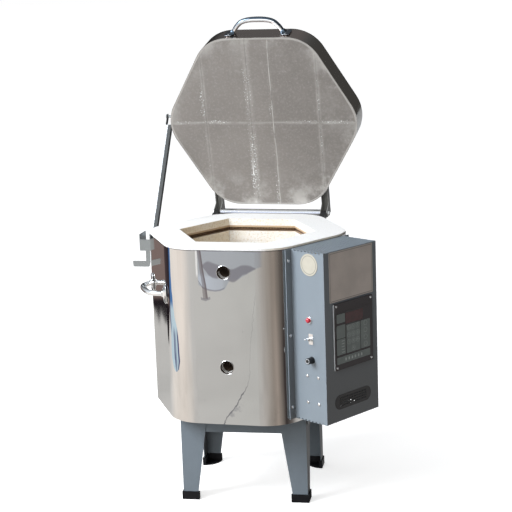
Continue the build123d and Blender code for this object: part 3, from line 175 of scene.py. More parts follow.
class Graph:
    """The node tree of one material, ending in one surface shader."""

    def __init__(self, name: str, tree: bpy.types.NodeTree | None = None) -> None:
        """Starts an empty tree.

        Args:
            name: the name of the material that is made for it.
            tree: a tree to clear and use instead, such as the world's.
        """
        self.material = None if tree else bpy.data.materials.new(name)
        if self.material:
            self.material.use_nodes = True
        self.tree = tree or self.material.node_tree
        self.tree.nodes.clear()

    def node(
        self,
        kind: str,
        values: Mapping[Any, Any] | None = None,
        out: Any = 0,
        stops: Sequence[tuple[float, Triple]] = (),
        smooth: bool = False,
        **settings: Any,
    ) -> Value:
        """Adds a node of any type.

        Args:
            kind: Blender's name of the node type.
            values: numbers, colours or links for its sockets, by name or place.
            out: name or place of the socket that is handed back.
            stops: places and colours of a ramp.
            smooth: whether the ramp bends softly through its stops.
            settings: the node's own settings, which are made first.

        Returns:
            The wanted output.
        """
        made = self.tree.nodes.new(kind)
        for name, value in settings.items():
            setattr(made, name, value)
        if stops:
            ramp = made.color_ramp
            ramp.interpolation = "CARDINAL" if smooth else "LINEAR"
            while len(ramp.elements) < len(stops):
                ramp.elements.new(0.5)
            for element, (place, colour) in zip(ramp.elements, stops):
                element.position = place
                element.color = (*colour, 1)
        for name, value in (values or {}).items():
            socket = made.inputs[name]
            if isinstance(value, Value):
                self.tree.links.new(value.socket, socket)
            elif socket.type == "RGBA" and len(value) == 3:
                socket.default_value = (*value, 1)
            else:
                socket.default_value = value
        return Value(self, made.outputs[out])

    def place(self) -> Value:
        """Where the surface is, in metres in the kiln's frame."""
        return self.node("ShaderNodeTexCoord", out="Object")

    def dot(self, first: Value, direction: Triple) -> Value:
        """How far a vector runs along a direction."""
        ends = {0: first, 1: direction}
        return self.node("ShaderNodeVectorMath", ends, out="Value", operation="DOT_PRODUCT")

    def axis(self, direction: Triple) -> Value:
        """How far along a direction the surface is."""
        return self.dot(self.place(), direction)

    def rise(self) -> Value:
        """How high above the floor the surface is."""
        return self.axis(UP)

    def facing(self, direction: Triple) -> Value:
        """How far the surface is turned towards a direction."""
        return self.dot(self.node("ShaderNodeTexCoord", out="Normal"), direction)

    def noise(self, scale: float, stretch: Triple = EVEN, detail: float = 3, rough: float = 0.5) -> Value:
        """Soft cloudy noise from 0 to 1.

        Args:
            scale: how many clouds to the metre.
            stretch: how much finer it is along each axis.
            detail: how many finer layers are added.
            rough: how strong those layers are.

        Returns:
            The noise.
        """
        ends = {0: self.place(), 1: stretch}
        where = self.node("ShaderNodeVectorMath", ends, operation="MULTIPLY")
        values = {"Vector": where, "Scale": scale, "Detail": detail, "Roughness": rough}
        return self.node("ShaderNodeTexNoise", values)

    def cells(self, scale: float, feature: str = "F1") -> Value:
        """Distance to the nearest of many scattered points."""
        values = {"Vector": self.place(), "Scale": scale}
        return self.node("ShaderNodeTexVoronoi", values, out="Distance", feature=feature)

    def mix(self, share: Any, first: Any, second: Any, way: str = "MIX") -> Value:
        """Blends two colours by a share."""
        values = {0: share, 6: first, 7: second}
        return self.node("ShaderNodeMix", values, out=2, data_type="RGBA", blend_type=way)

    def multiply(self, colour: Value, shares: Triple) -> Value:
        """A colour with each of its channels multiplied by a share."""
        return self.mix(1.0, colour, shares, "MULTIPLY")

    def bump(self, height: Value, depth: float) -> Value:
        """A normal from a height that runs from 0 to 1, with its full depth in metres."""
        return self.node("ShaderNodeBump", {"Height": height, "Distance": depth})

    def close(self, **values: Any) -> Material:
        """Ends the tree in one Principled surface.

        Args:
            values: its sockets, with underscores for the spaces in their names.

        Returns:
            The material.
        """
        named = {name.replace("_", " "): value for name, value in values.items()}
        if "Coat Weight" in named:
            named["Coat Roughness"] = 0.1
        return self.end(self.node("ShaderNodeBsdfPrincipled", named))

    def end(self, surface: Value) -> Material:
        """Ends the tree.

        Args:
            surface: the shader that the surface shows.

        Returns:
            The material.
        """
        output = self.tree.nodes.new("ShaderNodeOutputMaterial")
        self.tree.links.new(surface.socket, output.inputs["Surface"])
        return self.material


# Finishes


@dataclass(frozen=True)
class Finish:
    """What every finish has: the name of its material and its main colour."""

    name: str
    colour: Triple

    def material(self) -> Material:
        """The finished material."""
        raise NotImplementedError


@dataclass(frozen=True)
class Metal(Finish):
    """Bare, plated or polished metal, with streaks left by the rolling mill and faint smears."""

    polish: float = 0.2
    smear: float = 0.1
    grain: Triple = (1, 1, 0.03)
    grain_scale: float = 160
    wave: float = 0.0
    tarnish: float = 0.08
    reflection_band: Pair | None = None
    reflection_band_colour: Triple = (0.3, 0.33, 0.42)
    crown: Triple | None = None
    upper_reflection_from: Pair = (0.4, 0.55)

    def _stained(self, graph: Graph, marks: float, dark: float) -> tuple[Value, Value, Value]:
        """The bare sheet.

        Args:
            graph: the metal's tree.
            marks: how strongly the streaks show in its colour.
            dark: the strength of the colour where it is stained.

        Returns:
            Its streaks, its clouds and its stained colour.
        """
        streak = graph.noise(self.grain_scale, self.grain, 4)
        cloud = graph.noise(6, (1, 1, 0.6), 4, 0.6)
        stain = (cloud - 0.42) * (self.tarnish * 6) + (streak - 0.5) * (self.tarnish * marks)
        return streak, cloud, graph.mix(stain.most(0).least(1), self.colour, dimmed(self.colour, dark))

    def material(self) -> Material:
        """A metal whose gloss and colour wander a little, with a painted reflection in a band and on its
        upper side where wanted.

        Returns:
            The material.
        """
        graph = Graph(self.name)
        streak, cloud, colour = self._stained(graph, 1.6, 0.72)
        # Painted reflection: faces turned upwards take the crown colour, standing in for what they would
        # mirror.
        if self.crown:
            upper = graph.facing((0, -0.1, 1)).step(*self.upper_reflection_from)
            colour = graph.mix(upper * 0.9, colour, self.crown)
        # Painted reflection: a coloured band at a set height, standing in for a line mirrored in the tube.
        if self.reflection_band:
            low, high = self.reflection_band
            rise = graph.rise()
            inside = rise.step(low, low + 0.0008) * rise.step(high, high - 0.0008)
            colour = graph.mix(inside, colour, self.reflection_band_colour)
        rough = self.polish + (cloud - 0.4) * self.smear + (streak - 0.5) * (self.smear * 0.6)
        height = streak * 0.04 + graph.noise(5, (1, 1, 0.35), 1) * self.wave
        normal = graph.bump(height, 0.004)
        return graph.close(Base_Color=colour, Metallic=1.0, Roughness=rough.most(0.03), Normal=normal)


class Tone:
    """The colours of the reflections painted onto the jacket, of the painted shadow under its rim, and of
    its scuffs.
    """

    FIELD: Triple = (0.49, 0.52, 0.575)
    LOBE: Triple = (0.66, 0.71, 0.8)
    OUTLINE: Triple = (0.28, 0.28, 0.34)
    WING: Triple = (0.29, 0.28, 0.32)
    STEM: Triple = (0.2, 0.165, 0.175)
    HOOK: Triple = (0.26, 0.25, 0.28)
    RIM_SHADOW: Triple = (0.12, 0.12, 0.13)
    VEIN: Triple = (0.17, 0.17, 0.19)
    SMUDGE: Triple = (0.3, 0.3, 0.33)
    PALE_BLUE: Triple = (0.44, 0.59, 0.7)
    DEEP_BLUE: Triple = (0.05, 0.055, 0.16)
    BLUE: Triple = (0.045, 0.15, 0.38)
    SLATE: Triple = (0.08, 0.07, 0.1)


@dataclass(frozen=True)
class MirrorSheet(Metal):
    """Polished sheet that bows a little, with the odd curved shapes of its surroundings painted into its
    colour as reflections.

    The lines run in metres: across the kiln as it is seen from the front left, and up from the floor.
    """

    across: Triple = (0.968, 0.2512, 0)
    towards: Triple = (0.2512, -0.968, 0)
    # Outlines of the reflections painted into the sheet's colour; the vein line marks a scuff.
    field: Line = (
        (-0.16, 0.745), (-0.116, 0.729), (-0.073, 0.735), (-0.058, 0.762), (-0.02, 0.773), (0.04, 0.807),
    )
    wing_low: Line = (
        (-0.142, 0.808), (-0.125, 0.785), (-0.11, 0.77), (-0.07, 0.768),
        (-0.046, 0.758), (-0.02, 0.776), (0.0, 0.785), (0.027, 0.799),
    )
    wing_high: Line = (
        (-0.142, 0.812), (-0.12, 0.822), (-0.07, 0.805), (-0.045, 0.8),
        (-0.018, 0.811), (0.01, 0.808), (0.027, 0.8),
    )
    lobe: Line = ((-0.16, 0.765), (-0.144, 0.738), (-0.102, 0.7285), (-0.073, 0.739), (-0.064, 0.76))
    streak: Line = ((0.7, -0.1335), (0.77, -0.14), (0.856, -0.1495))
    vein: Line = (
        (0.307, -0.089), (0.354, -0.054), (0.39, -0.033), (0.416, -0.018),
        (0.451, -0.006), (0.53, -0.002), (0.628, 0.009), (0.725, 0.021),
    )
    strip_left: Line = (
        (0.452, -0.238), (0.47, -0.246), (0.5, -0.2505), (0.69, -0.2505), (0.7, -0.262), (0.87, -0.262),
    )
    strip_right: Line = (
        (0.452, -0.238), (0.465, -0.229), (0.493, -0.224), (0.542, -0.2245), (0.592, -0.228),
        (0.634, -0.235), (0.673, -0.239), (0.722, -0.2415), (0.87, -0.243),
    )

    def _painted_reflections(self, graph: Graph, colour: Value) -> Value:
        """Lays painted reflections, a painted glint and the painted shadow under the rim over the sheet's
        colour.

        Args:
            graph: the sheet's tree.
            colour: the sheet's own colour.

        Returns:
            The colour with the shapes over it.
        """
        # Down to the line under the rim, each shape is a painted reflection, except the white glint, a
        # painted highlight, and the rim line, a painted shadow.
        wander = (graph.noise(14, detail=3) - 0.5) * 0.016
        run = graph.axis(self.across) + wander * 0.25
        rise = graph.rise() + wander
        side = graph.axis(self.towards).step(0.02, 0.06)
        flat = side * run.step(-0.158, -0.152) * run.step(0.05, 0.036)
        field = flat * (rise - run.follow(self.field, True)).step(-0.004, 0.004)
        colour = graph.mix(field * 0.85, colour, Tone.FIELD)
        lobe = flat * (rise - run.follow(self.lobe, True)).step(0.0, 0.003)
        lobe = lobe * run.step(-0.07, -0.082) * rise.step(0.79, 0.768)
        colour = graph.mix(lobe * (0.45 + run.step(-0.08, -0.15) * 0.45), colour, Tone.LOBE)
        outline = flat * (rise - run.follow(self.lobe, True)).size().step(0.004, 0.001)
        outline = outline * run.step(-0.068, -0.078)
        colour = graph.mix(outline * 0.6, colour, Tone.OUTLINE)
        wing = side * rise.within(run.follow(self.wing_low, True), run.follow(self.wing_high, True), 0.004)
        wing = wing * run.step(-0.1425, -0.139) * run.step(0.028, 0.022)
        colour = graph.mix(wing * 0.85, colour, Tone.WING)
        away = (run - rise.follow(self.streak)) / (0.0065 + rise.step(0.8, 0.7) * 0.002)
        stem = side * away.size().step(1, 0.7) * rise.step(0.698, 0.704)
        hook = side * away.size().step(1.9, 1.5)
        hook = hook * (rise - 0.699 - away.size() * 0.003).size().step(0.006, 0.003)
        colour = graph.mix(stem * (0.55 + away.step(-0.4, 0.8) * 0.4), colour, Tone.STEM)
        colour = graph.mix(hook * 0.6, colour, Tone.HOOK)
        # Painted highlight: a thin white glint down the left of the front facets.
        painted_glint = side * (run + 0.158).size().step(0.0038, 0.002) * rise.step(0.765, 0.785)
        colour = graph.mix(painted_glint, colour, WHITE)
        # Painted shadow: a dark line just under the rim.
        edge = side * (graph.rise() + wander * 0.2).step(0.8535, 0.8555)
        colour = graph.mix(edge * 0.7, colour, Tone.RIM_SHADOW)
        return self._painted_left_reflection(graph, self._scuffs(graph, colour, side, rise), side, run, rise)

    def _scuffs(self, graph: Graph, colour: Value, side: Value, rise: Value) -> Value:
        """Lays a thin ragged vein and the smudges beside it over the sheet.

        Args:
            graph: the sheet's tree.
            colour: the colour so far.
            side: 1 on the facets that the shapes lie on.
            rise: the height above the floor.

        Returns:
            The colour with the vein and smudges over it.
        """
        ragged = graph.noise(60, detail=5, rough=0.7) - 0.5
        away = graph.axis(self.across) + ragged * 0.016 - rise.follow(self.vein)
        thick = rise.step(0.46, 0.36) * 0.0022 + 0.0012
        vein = side * (away.size() / thick).step(1, 0.3) * rise.step(0.73, 0.7)
        vein = vein * (0.22 + rise.step(0.45, 0.39) * 0.6) * graph.noise(40).step(0.3, 0.5)
        colour = graph.mix(vein, colour, Tone.VEIN)
        near = away.step(0.035, 0.006) * away.step(-0.004, 0.004)
        near = near * rise.step(0.38, 0.35) * rise.step(0.31, 0.325)
        smudge = near * graph.noise(36, detail=4, rough=0.65).step(0.5, 0.62)
        smudge = (smudge * 0.5).most(graph.noise(15, (1, 1, 0.7), 5, 0.7).step(0.64, 0.74) * 0.28)
        return graph.mix(side * smudge, colour, Tone.SMUDGE)

    def _painted_left_reflection(self, graph: Graph, colour: Value, side: Value, run: Value, rise: Value) -> Value:
        """Lays a painted reflection, a blue strip, over the left corner.

        Args:
            graph: the sheet's tree.
            colour: the colour so far.
            side: 1 on the facets that the shapes lie on.
            run: how far across the kiln the surface is.
            rise: the height above the floor.

        Returns:
            The colour with the strip over it.
        """
        low, high = rise.follow(self.strip_left), rise.follow(self.strip_right)
        strip = side * run.within(low, high, 0.001) * rise.step(0.454, 0.458)
        share = (run - low) / (high - low)
        streaks = graph.noise(160, (1, 1, 0.04), 2).step(0.46, 0.54)
        lower = rise.step(0.61, 0.57)
        deep = lower * (share - 0.5).size().step(0.17, 0.1).most((share - 0.95).size().step(0.16, 0.1))
        deep = deep.most(share.step(0.24, 0.12) * rise.step(0.56, 0.62))
        blue = graph.mix(deep * (0.6 + streaks * 0.35), Tone.PALE_BLUE, Tone.DEEP_BLUE)
        blue = graph.mix(rise.step(0.655, 0.69), blue, Tone.BLUE)
        blue = graph.mix(rise.step(0.655, 0.69) * run.step(-0.247, -0.2505), blue, Tone.SLATE)
        return graph.mix(strip, colour, blue)

    def material(self) -> Material:
        """A near mirror with soft bows, fine rolling marks and painted reflections.

        Returns:
            The material.
        """
        graph = Graph(self.name)
        streak, cloud, colour = self._stained(graph, 1.2, 0.78)
        colour = self._painted_reflections(graph, colour)
        rough = self.polish + (cloud - 0.4) * self.smear
        normal = graph.bump(streak * 0.004 + graph.noise(5, (1, 1, 0.35), 1) * self.wave, 0.004)
        return graph.close(Base_Color=colour, Metallic=1.0, Roughness=rough.most(0.03), Normal=normal)


@dataclass(frozen=True)
class Channel(Finish):
    """A dull galvanised channel with a painted highlight along its left-hand fold."""

    painted_highlight: Triple = (0.8, 0.83, 0.86)
    edge: float = 0.0
    top: float = 0.0

    def material(self) -> Material:
        """Dark spangled zinc with a painted highlight strip along one edge, below a top height.

        Returns:
            The material.
        """
        graph = Graph(self.name)
        spangle = graph.cells(170)
        cloud = graph.noise(30, detail=4)
        unevenness = (graph.noise(220, detail=4) - 0.5) * 0.006
        # Painted highlight: left of the edge and below the top, the channel is made bright and less
        # metallic.
        bright = (graph.axis((1, 0, 0)) + unevenness).step(self.edge + 0.0008, self.edge - 0.0008)
        bright = bright * graph.rise().step(self.top, self.top - 0.002)
        dull = spangle.step(0.2, 0.6) * 0.3 + cloud * 0.15
        colour = graph.mix(dull, self.colour, dimmed(self.colour, 0.7))
        colour = graph.mix(bright, colour, self.painted_highlight)
        rough = 0.55 + cloud * 0.1
        metallic = 0.35 - bright * 0.3
        normal = graph.bump(spangle, 0.0003)
        return graph.close(Base_Color=colour, Metallic=metallic, Roughness=rough, Normal=normal)


@dataclass(frozen=True)
class Paint(Finish):
    """Baked paint on sheet steel, with a fine orange-peel skin, dust and a few scuffed spots."""

    gloss: float = 0.35
    peel: float = 0.00025
    peel_scale: float = 900
    dust: float = 0.12
    shade: Triple | None = None
    painted_shade_tint: Triple = (0.7, 0.63, 0.58)

    def material(self) -> Material:
        """A paint with grain, dust in its lower parts, uneven gloss and painted shade on one side.

        Returns:
            The material.
        """
        graph = Graph(self.name)
        cloud = graph.noise(9, (1, 1, 0.7), 5, 0.6)
        skin = graph.noise(self.peel_scale, EVEN, 2)
        fleck = graph.noise(self.peel_scale * 0.4, EVEN, 3).step(0.62, 0.75)
        light = raised(self.colour, 1.35, 0.01)
        dark = dimmed(self.colour, 0.8)
        colour = graph.mix(cloud.step(0.35, 0.7) * (self.dust * 3), self.colour, light)
        colour = graph.mix(fleck * 0.35, colour, dark)
        # Painted shade: sides turned towards the shade direction are darkened, more so low down.
        if self.shade:
            turned = graph.facing(self.shade).step(0.85, 0.98)
            turned = turned * (0.6 + graph.rise().step(0.7, 0.4) * 0.4)
            colour = graph.mix(turned, colour, graph.multiply(colour, self.painted_shade_tint))
        rough = self.gloss + (cloud - 0.5) * 0.25 + (skin - 0.5) * 0.1
        normal = graph.bump(skin + cloud * 0.3, self.peel)
        return graph.close(Base_Color=colour, Roughness=rough, Normal=normal)


@dataclass(frozen=True)
class Firebrick(Finish):
    """Porous insulating brick with a sandy grain and a warm bloom, and a white coat if wanted."""

    coat: Triple | None = None
    pits: float = 0.0016
    warm: Triple = (0.99, 0.91, 0.8)
    sandy: Triple = (0.78, 0.68, 0.53)
    aged: Triple = (1, 0.97, 0.9)
    painted_shade_warmth: Triple = (1.0, 0.92, 0.79)
    scorched: Triple = tint(192, 160, 122)
    stain_and_shade: Triple = tint(92, 76, 62)
    mouths: Triple = (0.2005, 0.787, 0.483)
    groove: Pair = (0.2, 0.218)
    groove_top: float = 0.834

    def _coated(
        self, graph: Graph, colour: Value, height: Value, cloud: Value, grain: Value
    ) -> tuple[Value, Value]:
        """Lays the white coat over the upper side and the outer top edge.

        Args:
            graph: the brick's tree.
            colour: the bare brick's colour.
            height: its relief.
            cloud: its clouds.
            grain: its grain.

        Returns:
            The colour and the relief with the coat over them.
        """
        ends = {0: graph.place(), 1: (1, 1, 0)}
        flat = graph.node("ShaderNodeVectorMath", ends, operation="MULTIPLY")
        out = graph.node("ShaderNodeVectorMath", {0: flat}, out="Value", operation="LENGTH")
        side = out.step(0.27, 0.28) * graph.rise().step(0.848, 0.852)
        top = graph.facing(UP).step(0.4, 0.7).most(side)
        sand = graph.noise(190, detail=4, rough=0.75)
        skin = graph.mix(sand.step(0.36, 0.56), dimmed(self.coat, 0.9), self.coat)
        skin = graph.mix(cloud.step(0.5, 0.75) * 0.3, skin, toned(self.coat, self.aged))
        colour = graph.mix(top, colour, skin)
        return colour, height * (1 - top * 0.7) + (grain * 0.4 + sand) * top

    def material(self) -> Material:
        """A brick with pores of two sizes darkened as painted shade, painted shade on the walls turned to
        the right, scorched where the heat was, and smoke stain with painted shade in the peepholes.

        Returns:
            The material.
        """
        graph = Graph(self.name)
        cloud = graph.noise(11, detail=6, rough=0.65)
        grain = graph.noise(420, detail=5, rough=0.7)
        pores = graph.cells(260).step(0.26, 0.05)
        large = graph.cells(95).step(0.13, 0.03)
        colour = graph.mix(cloud.step(0.4, 0.75) * 0.7, self.colour, toned(self.colour, self.warm))
        # Painted shade: both sizes of pore are darkened as if in their own shadow.
        colour = graph.mix((pores * 0.35 + large * 0.4).least(1), colour, dimmed(self.colour, 0.42))
        speck = graph.noise(170, detail=2, rough=0.7).step(0.53, 0.62)
        colour = graph.mix(speck * 0.6, colour, toned(self.colour, self.sandy))
        height = grain * 0.35 - pores * 0.5 - large * 0.8 + cloud * 0.3
        if self.coat:
            colour, height = self._coated(graph, colour, height, cloud, grain)
        # Painted shade: walls turned to the right front, away from the light, are darkened and warmed.
        tan = graph.facing((0.866, -0.5, 0)).step(0.55, 0.95) * (0.75 + cloud * 0.4)
        colour = graph.mix(tan.least(1), colour, graph.multiply(colour, self.painted_shade_warmth))
        colour = graph.mix(self._scorch(graph), colour, self.scorched)
        colour = graph.mix(self._stain_and_shade(graph), colour, self.stain_and_shade)
        normal = graph.bump(height, self.pits)
        return graph.close(Base_Color=colour, Roughness=0.93, Normal=normal)

    def _scorch(self, graph: Graph) -> Value:
        """The brown inside the element grooves and over the top one.

        Args:
            graph: the brick's tree.

        Returns:
            How brown the brick is.
        """
        reach = graph.axis((0, 1, 0)).size()
        for direction in ((COS_30, 0.5, 0), (COS_30, -0.5, 0)):
            reach = reach.most(graph.axis(direction).size())
        low, high = self.groove
        inside = reach.step(low, low + 0.001) * reach.step(high, high - 0.001)
        above = graph.rise() - self.groove_top
        glow = above.step(-0.001, 0) * above.step(0.0068, 0.005) * reach.step(high, high - 0.001)
        return (inside * above.step(0.014, 0.01) * 0.85).most(glow * 0.9)

    def _stain_and_shade(self, graph: Graph) -> Value:
        """The smoke stain inside the peepholes, which is partly painted shade in their tunnels.

        Args:
            graph: the brick's tree.

        Returns:
            How stained and shaded the brick is.
        """
        # Partly painted shade: the tunnels behind the peepholes are darkened as stain and as the shade
        # inside them.
        front = graph.axis((0, -1, 0)).step(self.mouths[0] - 0.002, self.mouths[0] + 0.002)
        near = graph.axis((1, 0, 0)).size().step(0.026, 0.022)
        rows = [(graph.rise() - height).size().step(0.026, 0.022) for height in self.mouths[1:]]
        return front * near * rows[0].most(rows[1])


@dataclass(frozen=True)
class Seam:
    """One joint across the lid: where it is, how strong its line and its pale strip are, and its crumbs.

    The crumbs lie beside the joint, as thickly as their line says from place to place.
    """

    place: float
    line: float
    strip: float
    crumbs: Line
    aside: float
    spread: float
    wide: float = 0.011


@dataclass(frozen=True)
class LidBrick(Finish):
    """The lid's underside: grey fired brick with crumbs of wiped cement along its joints."""

    cement: Triple = (0.6, 0.58, 0.55)
    crumb: Triple = (0.86, 0.86, 0.84)
    seams: tuple[Seam, ...] = (
        Seam(
            place=-0.197, line=0.15, strip=0.5, aside=-0.008, spread=0.013,
            crumbs=(
                (-0.2, 0.2), (-0.12, 0.6), (-0.09, 1), (-0.03, 1), (-0.015, 0.2), (0.06, 0.5), (0.2, 0.3),
            ),
        ),
        Seam(
            place=-0.039, line=0.1, strip=0.5, aside=-0.004, spread=0.022, wide=0.018,
            crumbs=(
                (-0.26, 0.1), (-0.2, 0.5), (-0.03, 0.6), (0.02, 0.4), (0.05, 0.9), (0.2, 1), (0.27, 0.6),
            ),
        ),
        Seam(
            place=0.039, line=0.9, strip=0.15, aside=-0.006, spread=0.009,
            crumbs=(
                (-0.2, 0.2), (-0.09, 0.4), (-0.05, 1), (-0.02, 0.3), (0.18, 0.3), (0.21, 0.8), (0.27, 0.9),
            ),
        ),
        Seam(
            place=0.198, line=0.3, strip=0.5, aside=0.0, spread=0.006,
            crumbs=((-0.17, 0), (-0.15, 0.5), (-0.03, 0.7), (0.08, 0.7), (0.13, 0.2), (0.2, 0.1)),
        ),
    )
    level_seam: Seam = Seam(
        place=0, line=0.5, strip=0.6, aside=-0.003, spread=0.011, wide=0.008,
        crumbs=(
            (-0.34, 0.7), (-0.26, 0.7), (-0.22, 0.4), (-0.18, 0.8), (-0.12, 0.8), (-0.1, 0.3),
            (-0.02, 0.3), (0.05, 0), (0.1, 0.4), (0.13, 0.9), (0.18, 0.8), (0.2, 0.4), (0.23, 0.9),
            (0.3, 0.7), (0.33, 0.4),
        ),
    )
    across: Triple = (0, 0.22495, -0.97437)
    shift: float = -1.09226
    apothem: float = 0.2978

    def _seam(self, graph: Graph, seam: Seam, away: Value, along: Value) -> tuple[Value, Value]:
        """One seam of the lid.

        Args:
            graph: the lid's tree.
            seam: the seam's measures.
            away: the distance from the seam's line.
            along: the distance along it.

        Returns:
            How pale the surface is because of it, and how much of it is bright crumbs.
        """
        ends = {"X": along, "Y": seam.place * 37, "Z": 0.0}
        where = graph.node("ShaderNodeCombineXYZ", ends)
        patch = graph.node("ShaderNodeTexNoise", {"Vector": where, "Scale": 16, "Detail": 4})
        thick = along.follow(seam.crumbs)
        near = away.size()
        line = near.step(0.0024, 0.0007) * patch.step(0.34, 0.5) * seam.line
        smear = graph.noise(60, (0.5, 1, 0.25), 5, 0.7).step(0.3, 0.66)
        strip = near.step(seam.wide, seam.wide * 0.3) * seam.strip
        strip = strip * (0.3 + patch.step(0.4, 0.6) * 0.4 + thick * smear * 0.6)
        beside = (away - seam.aside).size().step(seam.spread, seam.spread * 0.3)
        dots = (thick * beside * (0.08 + patch * 0.42) - graph.cells(125)).step(-0.05, 0.05)
        grains = (thick * beside * (0.18 + patch * 0.4) - graph.cells(190)).step(-0.02, 0.12) * 0.45
        bead = (away - seam.aside * 1.8).size().step(0.003, 0.001)
        bead = bead * thick.step(0.95, 0.99) * patch.step(0.52, 0.58)
        return line.most(strip * 0.6), dots.most(grains).most(bead)

    def material(self) -> Material:
        """A speckled brick, pale at its edge and along the real joints.

        Returns:
            The material.
        """
        graph = Graph(self.name)
        wander = (graph.noise(7, detail=3) - 0.5) * 0.01
        ragged = graph.noise(130, detail=5, rough=0.75)
        run = graph.axis((1, 0, 0))
        rise = graph.axis(self.across) - self.shift
        pale, bright = self._seam(graph, self.level_seam, rise + wander, run)
        for seam in self.seams:
            more, grit = self._seam(graph, seam, run - seam.place + wander, rise)
            pale, bright = pale.most(more), bright.most(grit)
        sides = (run * COS_30 + rise * 0.5, rise, run * COS_30 - rise * 0.5)
        reach = sum(((side.size() / self.apothem) ** 12 for side in sides), start=0.0)
        cloud = graph.noise(7, detail=6, rough=0.6)
        soft = graph.noise(13, detail=5, rough=0.65)
        dust = soft.step(0.42, 0.66)
        haze = reach.step(0.01, 0.9) * dust * 0.4 + rise.step(0.15, 0.28) * dust * 0.55
        haze = haze + run.step(0.1, 0.3) * dust * 0.2 + rise.step(-0.12, -0.3) * dust * 0.15
        trim = reach.step(0.79, 0.85) * 0.6
        pits = graph.cells(330).step(0.2, 0.05) * ragged.step(0.4, 0.6)
        # Darker in cloudy patches and steadily towards +x.
        unevenness = (cloud.step(0.35, 0.7) * 0.5 + run.step(-0.05, 0.22) * 0.6).least(1)
        colour = graph.mix(unevenness, self.colour, dimmed(self.colour, 0.8))
        colour = graph.mix(ragged.step(0.45, 0.75) * 0.25, colour, self.cement)
        # Painted shade: the pits are darkened as if in their own shadow.
        colour = graph.mix(pits * 0.4, colour, dimmed(self.colour, 0.5))
        pale = (pale + haze).most(trim).least(1)
        colour = graph.mix(pale, colour, self.cement)
        colour = graph.mix(bright * 0.95, colour, self.crumb)
        height = ragged * 0.3 - pits * 0.6 + pale * 0.4 + bright * 0.8 + cloud * 0.4
        return graph.close(Base_Color=colour, Roughness=0.92, Normal=graph.bump(height, 0.0012))


@dataclass(frozen=True)
class Fibre(Finish):
    """Fluffy ceramic blanket or pressed board, with drifting fibres."""

    depth: float = 0.002

    def material(self) -> Material:
        """A matt felt of crossing strands.

        Returns:
            The material.
        """
        graph = Graph(self.name)
        strands = graph.noise(240, (1, 0.2, 1), 5, 0.7) * 0.5 + graph.noise(240, (0.2, 1, 1), 5, 0.7) * 0.5
        tuft = graph.noise(30, detail=4)
        dark = dimmed(self.colour, 0.78)
        colour = graph.mix(strands.step(0.4, 0.6) * 0.7, dark, self.colour)
        return graph.close(Base_Color=colour, Roughness=0.97, Normal=graph.bump(strands + tuft, self.depth))


@dataclass(frozen=True)
class Moulded(Finish):
    """Moulded plastic, rubber or glazed ware."""

    gloss: float = 0.4
    grain: float = 500
    depth: float = 0.0002
    coat: float = 0.0
    shine: float = 0.5

    def material(self) -> Material:
        """A moulding with a fine grain and finger marks.

        Returns:
            The material.
        """
        graph = Graph(self.name)
        skin = graph.noise(self.grain, detail=3)
        marks = graph.noise(26, detail=4)
        light = raised(self.colour, 1.3, 0.012)
        colour = graph.mix(marks.step(0.4, 0.75) * 0.5, self.colour, light)
        rough = self.gloss + (marks - 0.5) * 0.2
        normal = graph.bump(skin, self.depth)
        ends = {"Base_Color": colour, "Roughness": rough, "Normal": normal, "Coat_Weight": self.coat}
        return graph.close(**ends, Specular_IOR_Level=self.shine)


@dataclass(frozen=True)
class Glass(Finish):
    """A coloured lens or window with light behind it."""

    glow: float = 0.0
    facets: float = 300
    coat: float = 0.6

    def material(self) -> Material:
        """A deep glossy colour over a faint ribbing.

        Returns:
            The material.
        """
        graph = Graph(self.name)
        ribs = graph.cells(self.facets)
        light = raised(self.colour, 1.8, 0.02)
        colour = graph.mix(ribs.step(0.2, 0.7) * 0.4, self.colour, light)
        return graph.close(
            Base_Color=colour,
            Roughness=0.12 + ribs * 0.08,
            Normal=graph.bump(ribs, 0.0003),
            Emission_Color=colour,
            Emission_Strength=self.glow,
            Coat_Weight=self.coat,
        )


@dataclass(frozen=True)
class Plate(Finish):
    """A satin metal nameplate left bare, with a thin dark line inside its edge."""

    middle: Pair = (0, 0)
    half: Pair = (0.1, 0.07)
    line: float = 0.0012
    inset: float = 0.004
    along: Triple = (0.5, COS_30, 0)
    satin: float = 0.45

    def material(self) -> Material:
        """A brushed plate with its border line.

        Returns:
            The material.
        """
        graph = Graph(self.name)
        brushed = graph.noise(500, (1, 1, 0.02), 3)
        cloud = graph.noise(12, detail=4)
        reach = (graph.axis(self.along) - self.middle[0]).size() - (self.half[0] - self.inset)
        rise = (graph.rise() - self.middle[1]).size() - (self.half[1] - self.inset)
        border = reach.most(rise).size().step(self.line, self.line * 0.4)
        light = raised(self.colour, 1.18)
        colour = graph.mix(cloud.step(0.3, 0.7), self.colour, light)
        colour = graph.mix(border * 0.8, colour, dimmed(self.colour, 0.25))
        rough = self.satin + (cloud - 0.5) * 0.15 + (brushed - 0.5) * 0.2
        normal = graph.bump(brushed, 0.0001)
        return graph.close(Base_Color=colour, Metallic=0.35, Roughness=rough, Normal=normal)


